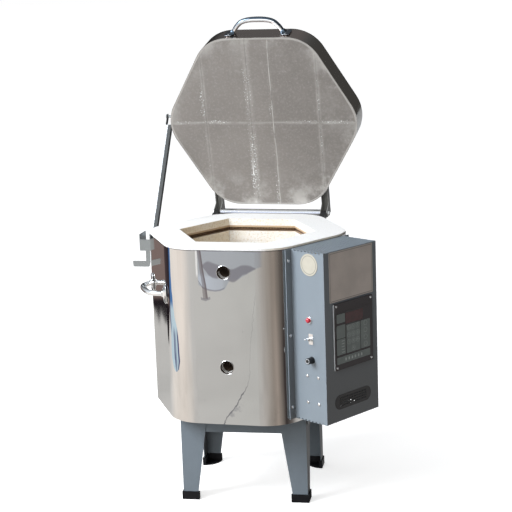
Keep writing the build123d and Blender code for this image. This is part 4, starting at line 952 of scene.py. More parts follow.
@dataclass(frozen=True)
class Medal(Finish):
    """A round enamelled disc left bare, with a thin dark ring."""

    centre: Triple = (0, 0, 0)
    ring: float = 0.0285
    ring_wide: Pair = (0.0011, 0.0004)
    rim: Pair = (0.0325, 0.0345)
    ring_colour: Triple = (0.06, 0.06, 0.055)

    def material(self) -> Material:
        """A creamy disc with one ring near its edge.

        Returns:
            The material.
        """
        graph = Graph(self.name)
        ends = {0: graph.place(), 1: self.centre}
        out = graph.node("ShaderNodeVectorMath", ends, out="Value", operation="DISTANCE")
        cloud = graph.noise(60, detail=4)
        circle = (out - self.ring).size().step(*self.ring_wide)
        edge = out.step(*self.rim)
        colour = graph.mix(cloud.step(0.35, 0.7) * 0.4, self.colour, dimmed(self.colour, 0.85))
        colour = graph.mix(circle * 0.75, colour, self.ring_colour)
        colour = graph.mix(edge * 0.5, colour, dimmed(self.colour, 0.5))
        rough = 0.3 + cloud * 0.1
        normal = graph.bump(cloud, 0.0001)
        return graph.close(Base_Color=colour, Roughness=rough, Coat_Weight=0.4, Normal=normal)


class Finishes:
    """Every finish on the kiln."""

    mirror = MirrorSheet(
        "mirror_steel", (0.66, 0.65, 0.635), polish=0.055, smear=0.07, wave=0.55, tarnish=0.06
    )
    # The lid band's upward faces carry a darker, warmer painted reflection.
    band = Metal(
        "lid_steel", (0.56, 0.55, 0.53), polish=0.14, smear=0.12, wave=0.2, tarnish=0.12,
        crown=(0.43, 0.35, 0.31), upper_reflection_from=(0.8, 0.95),
    )
    top_sheet = Metal(
        "top_steel", (0.66, 0.65, 0.63), polish=0.45, smear=0.15, grain=(0.03, 1, 1), tarnish=0.1
    )
    zinc = Metal("zinc_plate", (0.3, 0.32, 0.325), polish=0.36, smear=0.2, grain=EVEN, grain_scale=320)
    arm = Channel("galvanised_channel", (0.07, 0.074, 0.074))
    chrome = Metal("chrome_plate", (0.83, 0.85, 0.87), polish=0.07, smear=0.06, grain=EVEN, tarnish=0.04)
    # The lid handle's upper side carries a dark blue painted reflection of the sky.
    bow = replace(chrome, name="chrome_bow", crown=(0.035, 0.075, 0.12), upper_reflection_from=(0.12, 0.26))
    rod = Metal("bright_rod", (0.62, 0.62, 0.62), polish=0.25, grain=(0.05, 1, 1))
    # The hinge tube carries a blue-grey painted reflection band.
    tube = replace(
        rod, name="bright_tube", colour=chrome.colour, polish=0.1, smear=0.06, reflection_band=(0.8612, 0.8648)
    )
    screw = Metal("screw_steel", (0.78, 0.79, 0.8), polish=0.16, smear=0.08, grain=EVEN, tarnish=0.05)
    brass = Metal("brass_lug", (0.72, 0.5, 0.2), polish=0.3, grain=EVEN)
    cap_ring = Moulded("cap_ring", tint(196, 200, 202), gloss=0.35)
    # Partly painted shade: the peephole liners are darkened as stain and as the shade inside the holes.
    liner_stain_and_shade = Fibre("stained_shaded_liner", tint(70, 57, 48), depth=0.0004)
    coil = Metal("element_wire", (0.3, 0.2, 0.14), polish=0.6, grain=EVEN, tarnish=0.2)
    # The box and the stand get painted shade on the sides that face right.
    box = Paint("box_enamel", tint(132, 142, 150), gloss=0.42, dust=0.05, shade=(0.866, -0.5, 0))
    stand = Paint(
        "stand_enamel", tint(114, 124, 132), gloss=0.5, peel=0.0005, peel_scale=600, shade=(1, 0.07, 0)
    )
    dark = Paint("dark_enamel", tint(152, 152, 148), gloss=0.42)
    black = Paint("bracket_enamel", tint(42, 41, 42), gloss=0.4)
    brick = Firebrick("firebrick", tint(250, 246, 238))
    rim = Firebrick("coated_rim_brick", tint(250, 246, 238), coat=(1.0, 0.99, 0.965))
    lid = LidBrick("lid_brick", tint(139, 133, 127), cement=tint(196, 192, 186))
    board = Fibre("insulating_board", tint(222, 214, 198), depth=0.0008)
    blanket = Fibre("fibre_blanket", tint(235, 233, 228))
    rubber = Moulded("black_rubber", tint(15, 15, 19), gloss=0.6, depth=0.0005, shine=0.2)
    plastic = Moulded("black_plastic", tint(22, 22, 24), gloss=0.3)
    porcelain = Moulded("porcelain", tint(232, 226, 214), gloss=0.25, coat=0.3)
    panel = Moulded("controller_sheet", tint(47, 39, 42), gloss=0.38, depth=0.0001)
    pad = Moulded("key_sheet", tint(126, 134, 131), gloss=0.42, depth=0.0001)
    legend = Moulded("key_legend", tint(196, 202, 200), gloss=0.5)
    circuit = Moulded("circuit_board", tint(30, 92, 58), gloss=0.35)
    wire = Moulded("wire_sleeve", tint(196, 188, 170), gloss=0.6)
    window = Glass("display_glass", tint(66, 14, 20), facets=60, coat=0.0)
    lens = Glass("lamp_glass", tint(172, 18, 44), glow=0.1, facets=420)
    label = Plate("bare_label", tint(197, 187, 179), middle=(0.011, 0.7745), half=(0.102, 0.0785))
    badge = Medal("bare_badge", tint(196, 191, 176))


@cache
def made(finish: Finish) -> Material:
    """The material of a finish, made once."""
    return finish.material()


def dress(finish: Finish, *nodes: str) -> None:
    """Gives solids from the frame their finish.

    Args:
        finish: what they are dressed in.
        nodes: the names of the solids.
    """
    for node in nodes:
        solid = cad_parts[node]
        if not solid.material_slots:
            solid.data.materials.append(None)
        for slot in solid.material_slots:
            slot.material = made(finish)
        LOG.info("dressed %s in %s", node, finish.name)


# Places


def facet(angle: float, distance: float) -> Matrix:
    """A frame on an upright plane round the kiln: x along it, y up, z outwards.

    Args:
        angle: which way the plane looks, in degrees from the x axis.
        distance: how far it is from the kiln's axis, in millimetres.

    Returns:
        The frame, in metres.
    """
    out = Vector((math.cos(math.radians(angle)), math.sin(math.radians(angle)), 0))
    along = Vector((-out.y, out.x, 0))
    turned = Matrix((along, Vector(UP), out)).transposed().to_4x4()
    return Matrix.Translation(out * distance * 0.001) @ turned


def lid_frame() -> Matrix:
    """The frame of the closed lid's own measures, carried to where the lid stands open.

    Returns:
        The frame, in metres.
    """
    lean = math.radians(LID_OPEN)
    c, s = math.cos(lean), math.sin(lean)
    turned = Matrix(((1, 0, 0), (0, c, s), (0, -s, c))).to_4x4()
    hinge = Vector(HINGE)
    return Matrix.Translation(hinge) @ turned @ Matrix.Translation(-hinge)


def at(plane: Matrix, x: float, y: float, z: float = 0) -> Matrix:
    """A frame moved by millimetres along its own axes."""
    return plane @ Matrix.Translation(Vector((x, y, z)) * 0.001)


BOX = facet(-30, 0)
BOX_SIDE = facet(-120, 115)
LID = lid_frame()
LID_FRONT = LID @ facet(-90, 296)


def jacket_at(x: float) -> float:
    """How far out the jacket is, in millimetres, at a distance along a facet from its middle."""
    past = max(0.0, abs(x) - (JACKET_REACH - JACKET_CORNER) * math.tan(math.radians(30)))
    return JACKET_REACH - JACKET_CORNER + math.sqrt(max(0.0, JACKET_CORNER**2 - past**2))


# Modelling


def clear() -> None:
    """Deselects everything."""
    bpy.ops.object.select_all(action="DESELECT")


def only(piece: Piece) -> None:
    """Selects one piece and nothing else."""
    clear()
    piece.select_set(True)
    bpy.context.view_layer.objects.active = piece


def settle() -> None:
    """Puts the place, turn and size of the selected piece into its mesh."""
    bpy.ops.object.transform_apply(location=True, rotation=True, scale=True)


class Shaping:
    """Edit mode on one piece, as a with-block. All measures are the piece's own."""

    def __init__(self, piece: Piece, pick: Pick = Pick.FACES) -> None:
        """Keeps the piece and what is to be selected on it."""
        self.piece = piece
        self.pick = pick

    def __enter__(self) -> "Shaping":
        """Opens edit mode with nothing selected.

        Returns:
            Itself, to select and shape with.
        """
        only(self.piece)
        bpy.ops.object.mode_set(mode="EDIT")
        bpy.ops.mesh.select_mode(type=self.pick.value)
        bpy.ops.mesh.select_all(action="DESELECT")
        return self

    def __exit__(self, *problem: Any) -> None:
        """Goes back to object mode."""
        bpy.ops.object.mode_set(mode="OBJECT")

    def choose(self, test: Callable[[Any], bool]) -> None:
        """Selects what passes a test.

        Args:
            test: gets each face, edge or corner.
        """
        mesh = bmesh.from_edit_mesh(self.piece.data)
        group = {Pick.FACES: mesh.faces, Pick.EDGES: mesh.edges, Pick.CORNERS: mesh.verts}[self.pick]
        for element in (*mesh.faces, *mesh.edges, *mesh.verts):
            element.select = False
        for element in [element for element in group if test(element)]:
            element.select_set(True)
        mesh.select_flush_mode()
        bmesh.update_edit_mesh(self.piece.data)

    def choose_all(self) -> None:
        """Selects everything."""
        self.choose(lambda element: True)

    def choose_top(self) -> None:
        """Selects the faces that look up."""
        self.choose(lambda face: face.normal.z > 0.9)

    def choose_uprights(self) -> None:
        """Selects the edges that run up."""
        self.choose(lambda edge: abs(edge.verts[0].co.z - edge.verts[1].co.z) > 0.1)

    def open(self) -> None:
        """Deletes the selected faces."""
        bpy.ops.mesh.delete(type="FACE")

    def extrude(self, move: Triple) -> None:
        """Extrudes the selection and moves it."""
        bpy.ops.mesh.extrude_region_move(TRANSFORM_OT_translate={"value": move})

    def inset(self, width: float, depth: float = 0) -> None:
        """Insets the selected faces."""
        bpy.ops.mesh.inset(thickness=width, depth=depth)

    def bevel(self, width: float, segments: int = 2) -> None:
        """Rounds the selected edges."""
        bpy.ops.mesh.bevel(offset=width, segments=segments, affect="EDGES", clamp_overlap=True)

    def resize(self, share: Triple, centre: Triple = (0, 0, 0)) -> None:
        """Scales the selection about a point."""
        bpy.ops.transform.resize(value=share, center_override=centre)

    def move(self, by: Triple) -> None:
        """Moves the selection."""
        bpy.ops.transform.translate(value=by)

    def tidy(self) -> None:
        """Merges doubles and turns every face outwards."""
        bpy.ops.mesh.select_all(action="SELECT")
        bpy.ops.mesh.remove_doubles(threshold=0.0001)
        bpy.ops.mesh.normals_make_consistent(inside=False)


class Bench:
    """Where new pieces are made, in millimetres, and put in their places."""

    @staticmethod
    def named(name: str) -> Piece:
        """Names the primitive just added.

        Args:
            name: its name.

        Returns:
            The piece.
        """
        piece = bpy.context.active_object
        piece.name = name
        piece.data.name = name
        return piece

    @staticmethod
    def block(name: str, size: Triple, middle: Triple = (0, 0, 0)) -> Piece:
        """Adds a box.

        Args:
            name: the piece's name.
            size: its three sides.
            middle: where its middle is.

        Returns:
            The piece.
        """
        clear()
        bpy.ops.mesh.primitive_cube_add(size=1, location=middle)
        piece = Bench.named(name)
        piece.scale = size
        settle()
        return piece

    @staticmethod
    def turned(name: str, profile: Sequence[Pair], sides: int = 32) -> Piece:
        """Turns a round piece about z by extruding and scaling its end face step by step.

        Args:
            name: the piece's name.
            profile: radius and height of each step, from the closed bottom to the closed end.
            sides: how many sides the round has.

        Returns:
            The piece.
        """
        clear()
        radius, height = profile[0]
        low = (0, 0, height)
        bpy.ops.mesh.primitive_circle_add(vertices=sides, radius=radius, fill_type="NGON", location=low)
        piece = Bench.named(name)
        settle()
        with Shaping(piece) as shape:
            shape.choose_all()
            for wider, higher in profile[1:]:
                shape.extrude((0, 0, higher - height))
                share = wider / radius
                shape.resize((share, share, 1), (0, 0, higher))
                radius, height = wider, higher
            shape.tidy()
        return piece

    @staticmethod
    def torus(name: str, radius: float, wire: float, sides: tuple[int, int]) -> Piece:
        """Adds a ring of round wire in the plane z = 0.

        Args:
            name: the piece's name.
            radius: from its middle to the middle of the wire.
            wire: the wire's radius.
            sides: how many sides the ring and the wire have.

        Returns:
            The piece.
        """
        clear()
        around, through = sides
        bpy.ops.mesh.primitive_torus_add(
            major_radius=radius, minor_radius=wire, major_segments=around, minor_segments=through
        )
        return Bench.named(name)

    @staticmethod
    def smooth(piece: Piece, angle: float = 35) -> None:
        """Shades a piece smooth up to an angle."""
        only(piece)
        bpy.ops.object.shade_smooth_by_angle(angle=math.radians(angle))

    @staticmethod
    def modify(piece: Piece, kind: str, **settings: Any) -> None:
        """Adds a modifier and applies it.

        Args:
            piece: the piece that it changes.
            kind: Blender's name of the modifier type.
            settings: the modifier's own settings.
        """
        only(piece)
        modifier = piece.modifiers.new(kind.lower(), kind)
        for name, value in settings.items():
            setattr(modifier, name, value)
        bpy.ops.object.modifier_apply(modifier=modifier.name)

    @staticmethod
    def put(piece: Piece, plane: Matrix) -> Piece:
        """Turns millimetres into metres and puts a piece on a plane, with its place in its mesh.

        Args:
            piece: the piece in millimetres.
            plane: where its own axes go.

        Returns:
            The piece.
        """
        only(piece)
        piece.matrix_world = plane @ Matrix.Scale(0.001, 4)
        settle()
        return piece

    @staticmethod
    def copies(piece: Piece, name: str, planes: Iterable[Matrix]) -> Piece:
        """Puts copies of a piece on planes and joins them under one name.

        Args:
            piece: the model, still in millimetres. It is used up.
            name: the name of the joined piece.
            planes: where each copy goes.

        Returns:
            The joined piece.
        """
        placed = []
        for plane in planes:
            copy = piece.copy()
            copy.data = piece.data.copy()
            bpy.context.collection.objects.link(copy)
            placed.append(Bench.put(copy, plane))
        bpy.data.objects.remove(piece)
        return Bench.join(name, placed)

    @staticmethod
    def join(name: str, pieces: Sequence[Piece]) -> Piece:
        """Joins pieces into one.

        Args:
            name: the name of the joined piece.
            pieces: what is joined.

        Returns:
            The joined piece.
        """
        clear()
        for piece in pieces:
            piece.select_set(True)
        bpy.context.view_layer.objects.active = pieces[0]
        if len(pieces) > 1:
            bpy.ops.object.join()
        return Bench.named(name)

    @staticmethod
    def text(name: str, words: str, height: float, thick: float = 0.15) -> Piece:
        """Adds lettering, centred on its place and lying in the plane z = 0, as a mesh.

        Args:
            name: the piece's name.
            words: what it says.
            height: the height of a line.
            thick: half its thickness.

        Returns:
            The piece.
        """
        clear()
        bpy.ops.object.text_add(location=(0, 0, 0))
        piece = bpy.context.active_object
        piece.data.body = words
        piece.data.size = height
        piece.data.extrude = thick
        piece.data.align_x = piece.data.align_y = "CENTER"
        bpy.ops.object.convert(target="MESH")
        return Bench.named(name)

    @staticmethod
    def done(piece: Piece, finish: Finish, body: Body, slot: str, *replaces: str) -> None:
        """Finishes a piece.

        Args:
            piece: the piece in its place.
            finish: what it is dressed in.
            body: the body it rides on.
            slot: the record's material slot; it is not used.
            replaces: the solids it stands for.
        """
        piece.data.materials.clear()
        piece.data.materials.append(made(finish))
        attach(piece, body.value)
        if replaces:
            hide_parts(*replaces)
        LOG.info("made %s with %d faces on %s", piece.name, len(piece.data.polygons), body.value)


# Sub-assemblies


@dataclass
class DomeScrew:
    """A domed machine screw with a cross recess, its seat at z = 0."""

    head: float = 4.5
    dome: float = 2.4
    shank: float = 2.0
    length: float = 4.0
    sides: int = 20
    # The head's profile and the cross, in shares of the head's radius and of its dome.
    curve: Line = ((1, 0.28), (0.93, 0.55), (0.78, 0.8), (0.5, 0.96), (0.2, 1))
    cross: Triple = (1.1, 0.2, 0.5)

    def model(self) -> Piece:
        """One screw, turned and with its cross cut in.

        Returns:
            The screw in millimetres.
        """
        head, dome = self.head, self.dome
        profile = [(self.shank, -self.length), (self.shank, 0), (head, 0.0001)]
        profile += [(head * out, dome * up) for out, up in self.curve]
        screw = Bench.turned("screw_model", profile, self.sides)
        long, wide, deep = self.cross
        for turn in (0, 90):
            cutter = Bench.block("cutter", (head * long, head * wide, dome * deep), (0, 0, dome))
            cutter.rotation_euler = (0, 0, math.radians(turn))
            bpy.context.view_layer.update()
            Bench.modify(screw, "BOOLEAN", object=cutter, operation="DIFFERENCE")
            bpy.data.objects.remove(cutter)
        Bench.smooth(screw, 40)
        return screw


@dataclass
class BowHandle:
    """A cast bow handle: a bar thick in its middle on two leaf-shaped feet that reach outwards from it."""

    feet: float = 97
    legs: float = 84.5
    high: float = 48.4
    thick: float = 9.6
    shoulder_thick: float = 8.436
    thin: float = 7.4
    # A knot of the bar and its two ends: along from the leg, and up from the foot or from the top.
    root: Line = ((0, 3), (-1.5, -8), (2, 14))
    shoulder: Line = ((25, -11), (12, -22), (38, -2))
    crest: Pair = (24, 0.5)
    foot_wide: float = 31
    foot_long: float = 60
    foot_thick: float = 3.4
    foot_round: float = 10.5
    lips: Pair = (1.4, 2.2)
    crown: float = 0.9
    # Steps from foot to bar: share of the way inwards, rise, two shares of size, and where they shrink.
    swell: tuple[tuple[float, ...], ...] = (
        (0.3, 1.6, 0.72, 0.44, 0.5),
        (0.2, 4.2, 0.8, 0.74, 1),
        (0, 6, 0.8, 0.8, 1),
    )

    def _bow(self) -> Piece:
        """The bar, drawn as a curve whose thickness changes along it.

        Returns:
            The bar as a mesh.
        """
        path = bpy.data.curves.new("bow_line", "CURVE")
        path.dimensions = "3D"
        path.resolution_u = 10
        path.bevel_depth = 1
        path.bevel_resolution = 6
        path.use_fill_caps = True
        spline = path.splines.new("BEZIER")
        left, right = [], []
        halves = ((self.root, 0, self.thin), (self.shoulder, self.high, self.shoulder_thick))
        for line, level, radius in halves:
            co, before, after = ((x - self.legs, 0, level + z) for x, z in line)
            left.append((co, before, after, radius))
            right.insert(0, (*((-x, y, z) for x, y, z in (co, after, before)), radius))
        reach, up = self.crest[0], self.high + self.crest[1]
        middle = ((0, 0, self.high), (-reach, 0, up), (reach, 0, up), self.thick)
        knots = [*left, middle, *right]
        spline.bezier_points.add(len(knots) - 1)
        for knot, values in zip(spline.bezier_points, knots):
            knot.co, knot.handle_left, knot.handle_right, knot.radius = values
        bow = bpy.data.objects.new("bow_line", path)
        bpy.context.collection.objects.link(bow)
        only(bow)
        bpy.ops.object.convert(target="MESH")
        return bpy.context.active_object

    def _foot(self, x: float) -> Piece:
        """One foot: a leaf-shaped plate that swells up to the bar at its inner side.

        Args:
            x: how far the foot's middle is from the handle's.

        Returns:
            The foot, in its place on the handle.
        """
        top = self.foot_thick
        foot = Bench.block("foot", (self.foot_wide, self.foot_long, top), (x, 0, top / 2))
        inwards = math.copysign(self.legs, x) - x
        with Shaping(foot, Pick.EDGES) as shape:
            shape.choose_uprights()
            shape.bevel(self.foot_round, 4)
        with Shaping(foot) as shape:
            shape.choose_top()
            shape.inset(self.lips[0])
            shape.move((0, 0, self.crown))
            shape.inset(self.lips[1])
            shape.move((inwards * 0.5, 0, 0))
            for along, up, wide, long, about in self.swell:
                shape.extrude((inwards * along, 0, up))
                shape.resize((wide, long, 1), (x + inwards * about, 0, top))
        Bench.modify(foot, "SUBSURF", levels=2, render_levels=2)
        return foot

    def model(self, shift: float, wall: Callable[[float], float]) -> Piece:
        """The whole handle in millimetres.

        Args:
            shift: how far its middle is along the facet.
            wall: how far the wall is from the plane at a distance along the facet.

        Returns:
            The handle, with the undersides of its feet on the wall.
        """
        feet = [self._foot(-self.feet), self._foot(self.feet)]
        for foot in feet:
            for corner in foot.data.vertices:
                gap = wall(corner.co.x + shift)
                corner.co.z += gap if corner.co.z < 0.6 * self.foot_thick else gap * 0.5
        handle = Bench.join("handle_model", [self._bow(), *feet])
        Bench.smooth(handle, 60)
        return handle


@dataclass
class Stand:
    """The folded legs, rails, bolts and black shoes."""

    corners: tuple[str, ...] = ("front_left", "front_right", "rear_left", "rear_right")

    def build(self) -> None:
        """Dresses the stand."""
        dress(Finishes.stand, *(f"leg_{corner}" for corner in self.corners), "stand_rails")
        dress(Finishes.rubber, "foot_caps")
        dress(Finishes.zinc, "stand_bolts")


@dataclass
class Chamber:
    """Brick walls, floor and rim, with the heating coils in their grooves."""

    rows: tuple[float, ...] = (827.5, 751.5, 675.5, 599.5, 523.5, 447.5)
    apothem: float = 209.2
    coil_radius: float = 4.0
    wire_radius: float = 0.95
    pitch: float = 5.4
    tail_radius: float = 2.4
    tail_spread: float = 28
    tail_end: float = 342
    bend: float = 14

    def _route(self) -> list[Vector]:
        """The middle line of one coil: along six sides with rounded corners.

        Returns:
            Its points, in millimetres.
        """
        plane = facet(-30, self.apothem)
        start, finish = (at(plane, side * self.tail_spread, 0).translation for side in (1, -1))
        reach = self.apothem / COS_30
        points = [start * 1000]
        for corner in range(6):
            turn = math.radians(60 * corner)
            middle = Vector((math.cos(turn), math.sin(turn), 0)) * (reach - self.bend / COS_30)
            for step in range(-3, 4):
                swing = turn + math.radians(10 * step)
                points.append(middle + Vector((math.cos(swing), math.sin(swing), 0)) * self.bend)
        return [*points, finish * 1000]

    def _coil(self, line: Piece, length: float) -> Piece:
        """One coil of wire, wound straight and then bent round the chamber.

        Args:
            line: the curve that it is bent along.
            length: the curve's length.

        Returns:
            The coil.
        """
        clear()
        turn, out = (math.radians(90), 0, 0), (0, 0, self.coil_radius)
        bpy.ops.mesh.primitive_circle_add(vertices=5, radius=self.wire_radius, rotation=turn, location=out)
        coil = Bench.named("coil_model")
        settle()
        Bench.modify(coil, "SCREW", axis="X", screw_offset=self.pitch, steps=12, render_steps=12)
        Bench.modify(
            coil, "ARRAY", count=int(length / self.pitch), use_relative_offset=False,
            use_constant_offset=True, constant_offset_displace=(self.pitch, 0, 0),
            use_merge_vertices=True, merge_threshold=0.05,
        )
        Bench.modify(coil, "CURVE", object=line, deform_axis="POS_X")
        with Shaping(coil) as shape:
            shape.tidy()
        return coil

    def _line(self) -> tuple[Piece, float]:
        """Draws the curve that a coil is bent along.

        Returns:
            The curve and its length.
        """
        points = self._route()
        path = bpy.data.curves.new("coil_line", "CURVE")
        path.dimensions = "3D"
        spline = path.splines.new("POLY")
        spline.points.add(len(points) - 1)
        for knot, point in zip(spline.points, points):
            knot.co = (*point, 1)
        line = bpy.data.objects.new("coil_line", path)
        bpy.context.collection.objects.link(line)
        bpy.context.view_layer.update()
        return line, sum((b - a).length for a, b in zip(points, points[1:]))

    def _tail(self, side: int) -> Piece:
        """One straight end of a coil, which leaves the chamber towards the box.

        Args:
            side: -1 for the left one, 1 for the right one.

        Returns:
            The bar in its place.
        """
        ends = [(self.tail_radius, self.apothem), (self.tail_radius, self.tail_end)]
        bar = Bench.turned("tail", ends, 8)
        level = Matrix.Rotation(math.radians(90), 4, "Y")
        bar.matrix_world = Matrix.Rotation(math.radians(-30), 4, "Z") @ level
        bar.matrix_world.translation = BOX.to_3x3() @ Vector((side * self.tail_spread, 0, 0))
        settle()
        return bar

    def build(self) -> None:
        """Dresses the brickwork and winds the coils."""
        dress(Finishes.brick, "wall_bricks", "floor_bricks")
        dress(Finishes.rim, "rim_bricks")
        dress(Finishes.board, "base_board")
        dress(Finishes.blanket, "insulation_blanket")
        dress(Finishes.porcelain, "element_tubes", "thermocouple")
        dress(Finishes.brass, "terminal_lugs")
        line, length = self._line()
        coil = self._coil(line, length)
        bpy.data.objects.remove(line)
        model = Bench.join("row_model", [coil, self._tail(-1), self._tail(1)])
        Bench.smooth(model, 60)
        planes = [Matrix.Translation((0, 0, row * 0.001)) for row in self.rows]
        coils = Bench.copies(model, "heating_coils", planes)
        Bench.done(coils, Finishes.coil, Body.KILN, "element", "heating_elements")


@dataclass
class Shell:
    """The polished jacket with its side handles, peephole rings, hinge brackets and screws."""

    handle_height: float = 698
    handle_shift: float = 1
    peepholes: Pair = (787, 483)
    ring: Line = (
        (21.4, -9), (21.4, 0), (23, 0.0001), (23, 0.9), (22.5, 1.6), (21.9, 1.9), (21.3, 1.6), (21, 0.8),
        (21, -8.9),
    )
    liner: Line = ((20.95, -8.8), (20.95, 0.9), (20.5, 0.9001), (20.2, -8.7))

    def _handles(self) -> None:
        """Puts a cast bow handle on the left and on the right."""
        for side, angle in (("left", -150), ("right", 30)):
            handle = BowHandle().model(self.handle_shift, lambda x: jacket_at(x) - JACKET_REACH)
            Bench.put(handle, at(facet(angle, JACKET_REACH), self.handle_shift, self.handle_height))
            handle.name = f"bow_handle_{side}"
            Bench.done(handle, Finishes.chrome, Body.KILN, "chrome", f"side_handle_{side}")

    def _sleeves(self, name: str, profile: Line, finish: Finish, *replaces: str) -> None:
        """Turns an open sleeve and puts one in each peephole.

        Args:
            name: the name of the pair.
            profile: radius and height of each step.
            finish: what they are dressed in.
            replaces: the solids they stand for.
        """
        sleeve = Bench.turned("sleeve_model", profile, 48)
        with Shaping(sleeve) as shape:
            shape.choose(lambda face: len(face.verts) > 8)
            shape.open()
        Bench.smooth(sleeve, 50)
        planes = [at(facet(-90, JACKET_REACH), 0, height) for height in self.peepholes]
        Bench.done(Bench.copies(sleeve, name, planes), finish, Body.KILN, "chrome", *replaces)

    def build(self) -> None:
        """Dresses the shell and makes its detailed pieces."""
        dress(Finishes.mirror, "jacket")
        dress(Finishes.zinc, "base_pan", "stay_guide", "body_screws")
        dress(Finishes.black, "hinge_brackets")
        self._handles()
        self._sleeves("peephole_bezels", self.ring, Finishes.chrome, "peephole_rings")
        self._sleeves("peephole_liners", self.liner, Finishes.liner_stain_and_shade)


@dataclass
class Lid:
    """The open lid: brick slab, band, top sheet, handle, folded arms and the hinge's rod and tube."""

    handle_height: float = 912

    def build(self) -> None:
        """Dresses the lid and makes its handle."""
        dress(Finishes.lid, "lid_bricks")
        dress(Finishes.band, "lid_band")
        dress(Finishes.top_sheet, "lid_top_sheet")
        dress(Finishes.board, "lid_board")
        dress(Finishes.dark, "lid_arms")
        dress(Finishes.rod, "hinge_rod")
        dress(Finishes.tube, "hinge_tube")
        dress(Finishes.screw, "lid_screws")
        dress(Finishes.zinc, "stay_pivot_bolt")
        handle = BowHandle().model(0, lambda x: 0)
        Bench.put(handle, at(LID_FRONT, 0, self.handle_height))
        handle.name = "bow_handle_lid"
        Bench.done(handle, Finishes.bow, Body.LID, "chrome", "lid_handle")


@dataclass
class Stay:
    """The lid stay and its release lever."""

    # Share of the arm's width, from its left, that the painted highlight covers.
    painted_highlight: float = 0.42
    tab: float = 0.034

    def build(self) -> None:
        """Dresses the stay, whose painted highlight along its fold ends below its pivot tab, and the lever.
        """
        low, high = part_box("stay_arm")
        edge = low[0] + (high[0] - low[0]) * self.painted_highlight
        dress(replace(Finishes.arm, edge=edge, top=high[2] - self.tab), "stay_arm")
        dress(Finishes.zinc, "release_lever")


@dataclass
class Keypad:
    """The membrane keypad of the controller. Places run along the facet and up, in millimetres."""

    front: float = 442.6
    blocks: tuple[tuple[str, float, float, float, float], ...] = (
        ("key_start", -48.5, 642.5, 38, 28),
        ("key_left_upper", -49.5, 600, 40, 42),
        ("key_left_lower", -49.5, 552, 40, 50),
        ("key_numbers", 8.5, 571.5, 65, 90),
        ("key_right", 66.5, 571.5, 44, 90),
        ("key_bottom", 9, 509, 157, 22),
    )
    film: Triple = (83, 34, 0.3)
    film_at: Pair = (14.5, 638)
    film_lift: float = 0.1
    thick: float = 0.5
    corner: float = 2.6
    lip: float = 0.9
    sunk: float = 0.15
    digits: str = "123456789"
    digit_high: float = 9
    first_key: Pair = (-12, 606)
    key_step: Pair = (20.5, 22.5)
    zero_at: Pair = (8.5, 538.5)
    side_keys: float = 66.5
    ring_radius: float = 7.6
    ring_wire: float = 0.45
    ring_flat: float = 0.35
    bar: Triple = (13, 1.6, 0.3)
    bars: int = 5
    bars_at: Pair = (-41, 570)
    bar_step: float = 9
    tick: Triple = (5.5, 9, 0.3)
    ticks: int = 6
    ticks_at: Pair = (-29, 509)
    tick_step: float = 15
    marks: list[Piece] = field(default_factory=list)

    def _block(self, name: str, x: float, y: float, wide: float, high: float) -> Piece:
        """One raised pad with round corners and a lip inside its edge.

        Args:
            name: the pad's name.
            x: how far along the facet its middle is.
            y: how high its middle is.
            wide: its width.
            high: its height.

        Returns:
            The pad in its place.
        """
        pad = Bench.block(name, (wide, high, self.thick), (0, 0, self.thick / 2))
        with Shaping(pad, Pick.EDGES) as shape:
            shape.choose_uprights()
            shape.bevel(self.corner, 4)
        with Shaping(pad) as shape:
            shape.choose_top()
            shape.inset(self.lip)
            shape.move((0, 0, -self.sunk))
        return Bench.put(pad, at(BOX, x, y, self.front))

    def _print(self, mark: Piece, x: float, y: float) -> None:
        """Puts a mark on the pads and keeps it."""
        self.marks.append(Bench.put(mark, at(BOX, x, y, self.front + self.thick)))

    def _key(self, x: float, y: float, digit: str = "") -> None:
        """Prints a key's ring, after its digit if it has one.

        Args:
            x: how far along the facet the key is.
            y: how high it is.
            digit: what it says.
        """
        if digit:
            self._print(Bench.text("mark", digit, self.digit_high), x, y)
        ring = Bench.torus("ring", self.ring_radius, self.ring_wire, (32, 5))
        with Shaping(ring, Pick.CORNERS) as shape:
            shape.choose_all()
            shape.resize((1, 1, self.ring_flat))
        self._print(ring, x, y)

    def _line(self, size: Triple, x: float, y: float) -> None:
        """Prints a short bar."""
        self._print(Bench.block("line", size, (0, 0, size[2] / 2)), x, y)

    def build(self) -> None:
        """Makes the pads and their generic marks."""
        pads = [self._block(*block) for block in self.blocks]
        Bench.done(Bench.join("keypad_pads", pads), Finishes.pad, Body.KILN, "keypad")
        film = Bench.block("display_film", self.film)
        Bench.put(film, at(BOX, *self.film_at, self.front + self.film_lift))
        Bench.done(film, Finishes.window, Body.KILN, "window")
        (x, y), (across, down) = self.first_key, self.key_step
        for count, digit in enumerate(self.digits):
            self._key(x + across * (count % 3), y - down * (count // 3), digit)
        self._key(*self.zero_at, "0")
        for row in range(4):
            self._key(self.side_keys, y - down * row)
        for row in range(self.bars):
            self._line(self.bar, self.bars_at[0], self.bars_at[1] - self.bar_step * row)
        for column in range(self.ticks):
            self._line(self.tick, self.ticks_at[0] + self.tick_step * column, self.ticks_at[1])
        Bench.done(Bench.join("keypad_marks", self.marks), Finishes.legend, Body.KILN, "keypad")


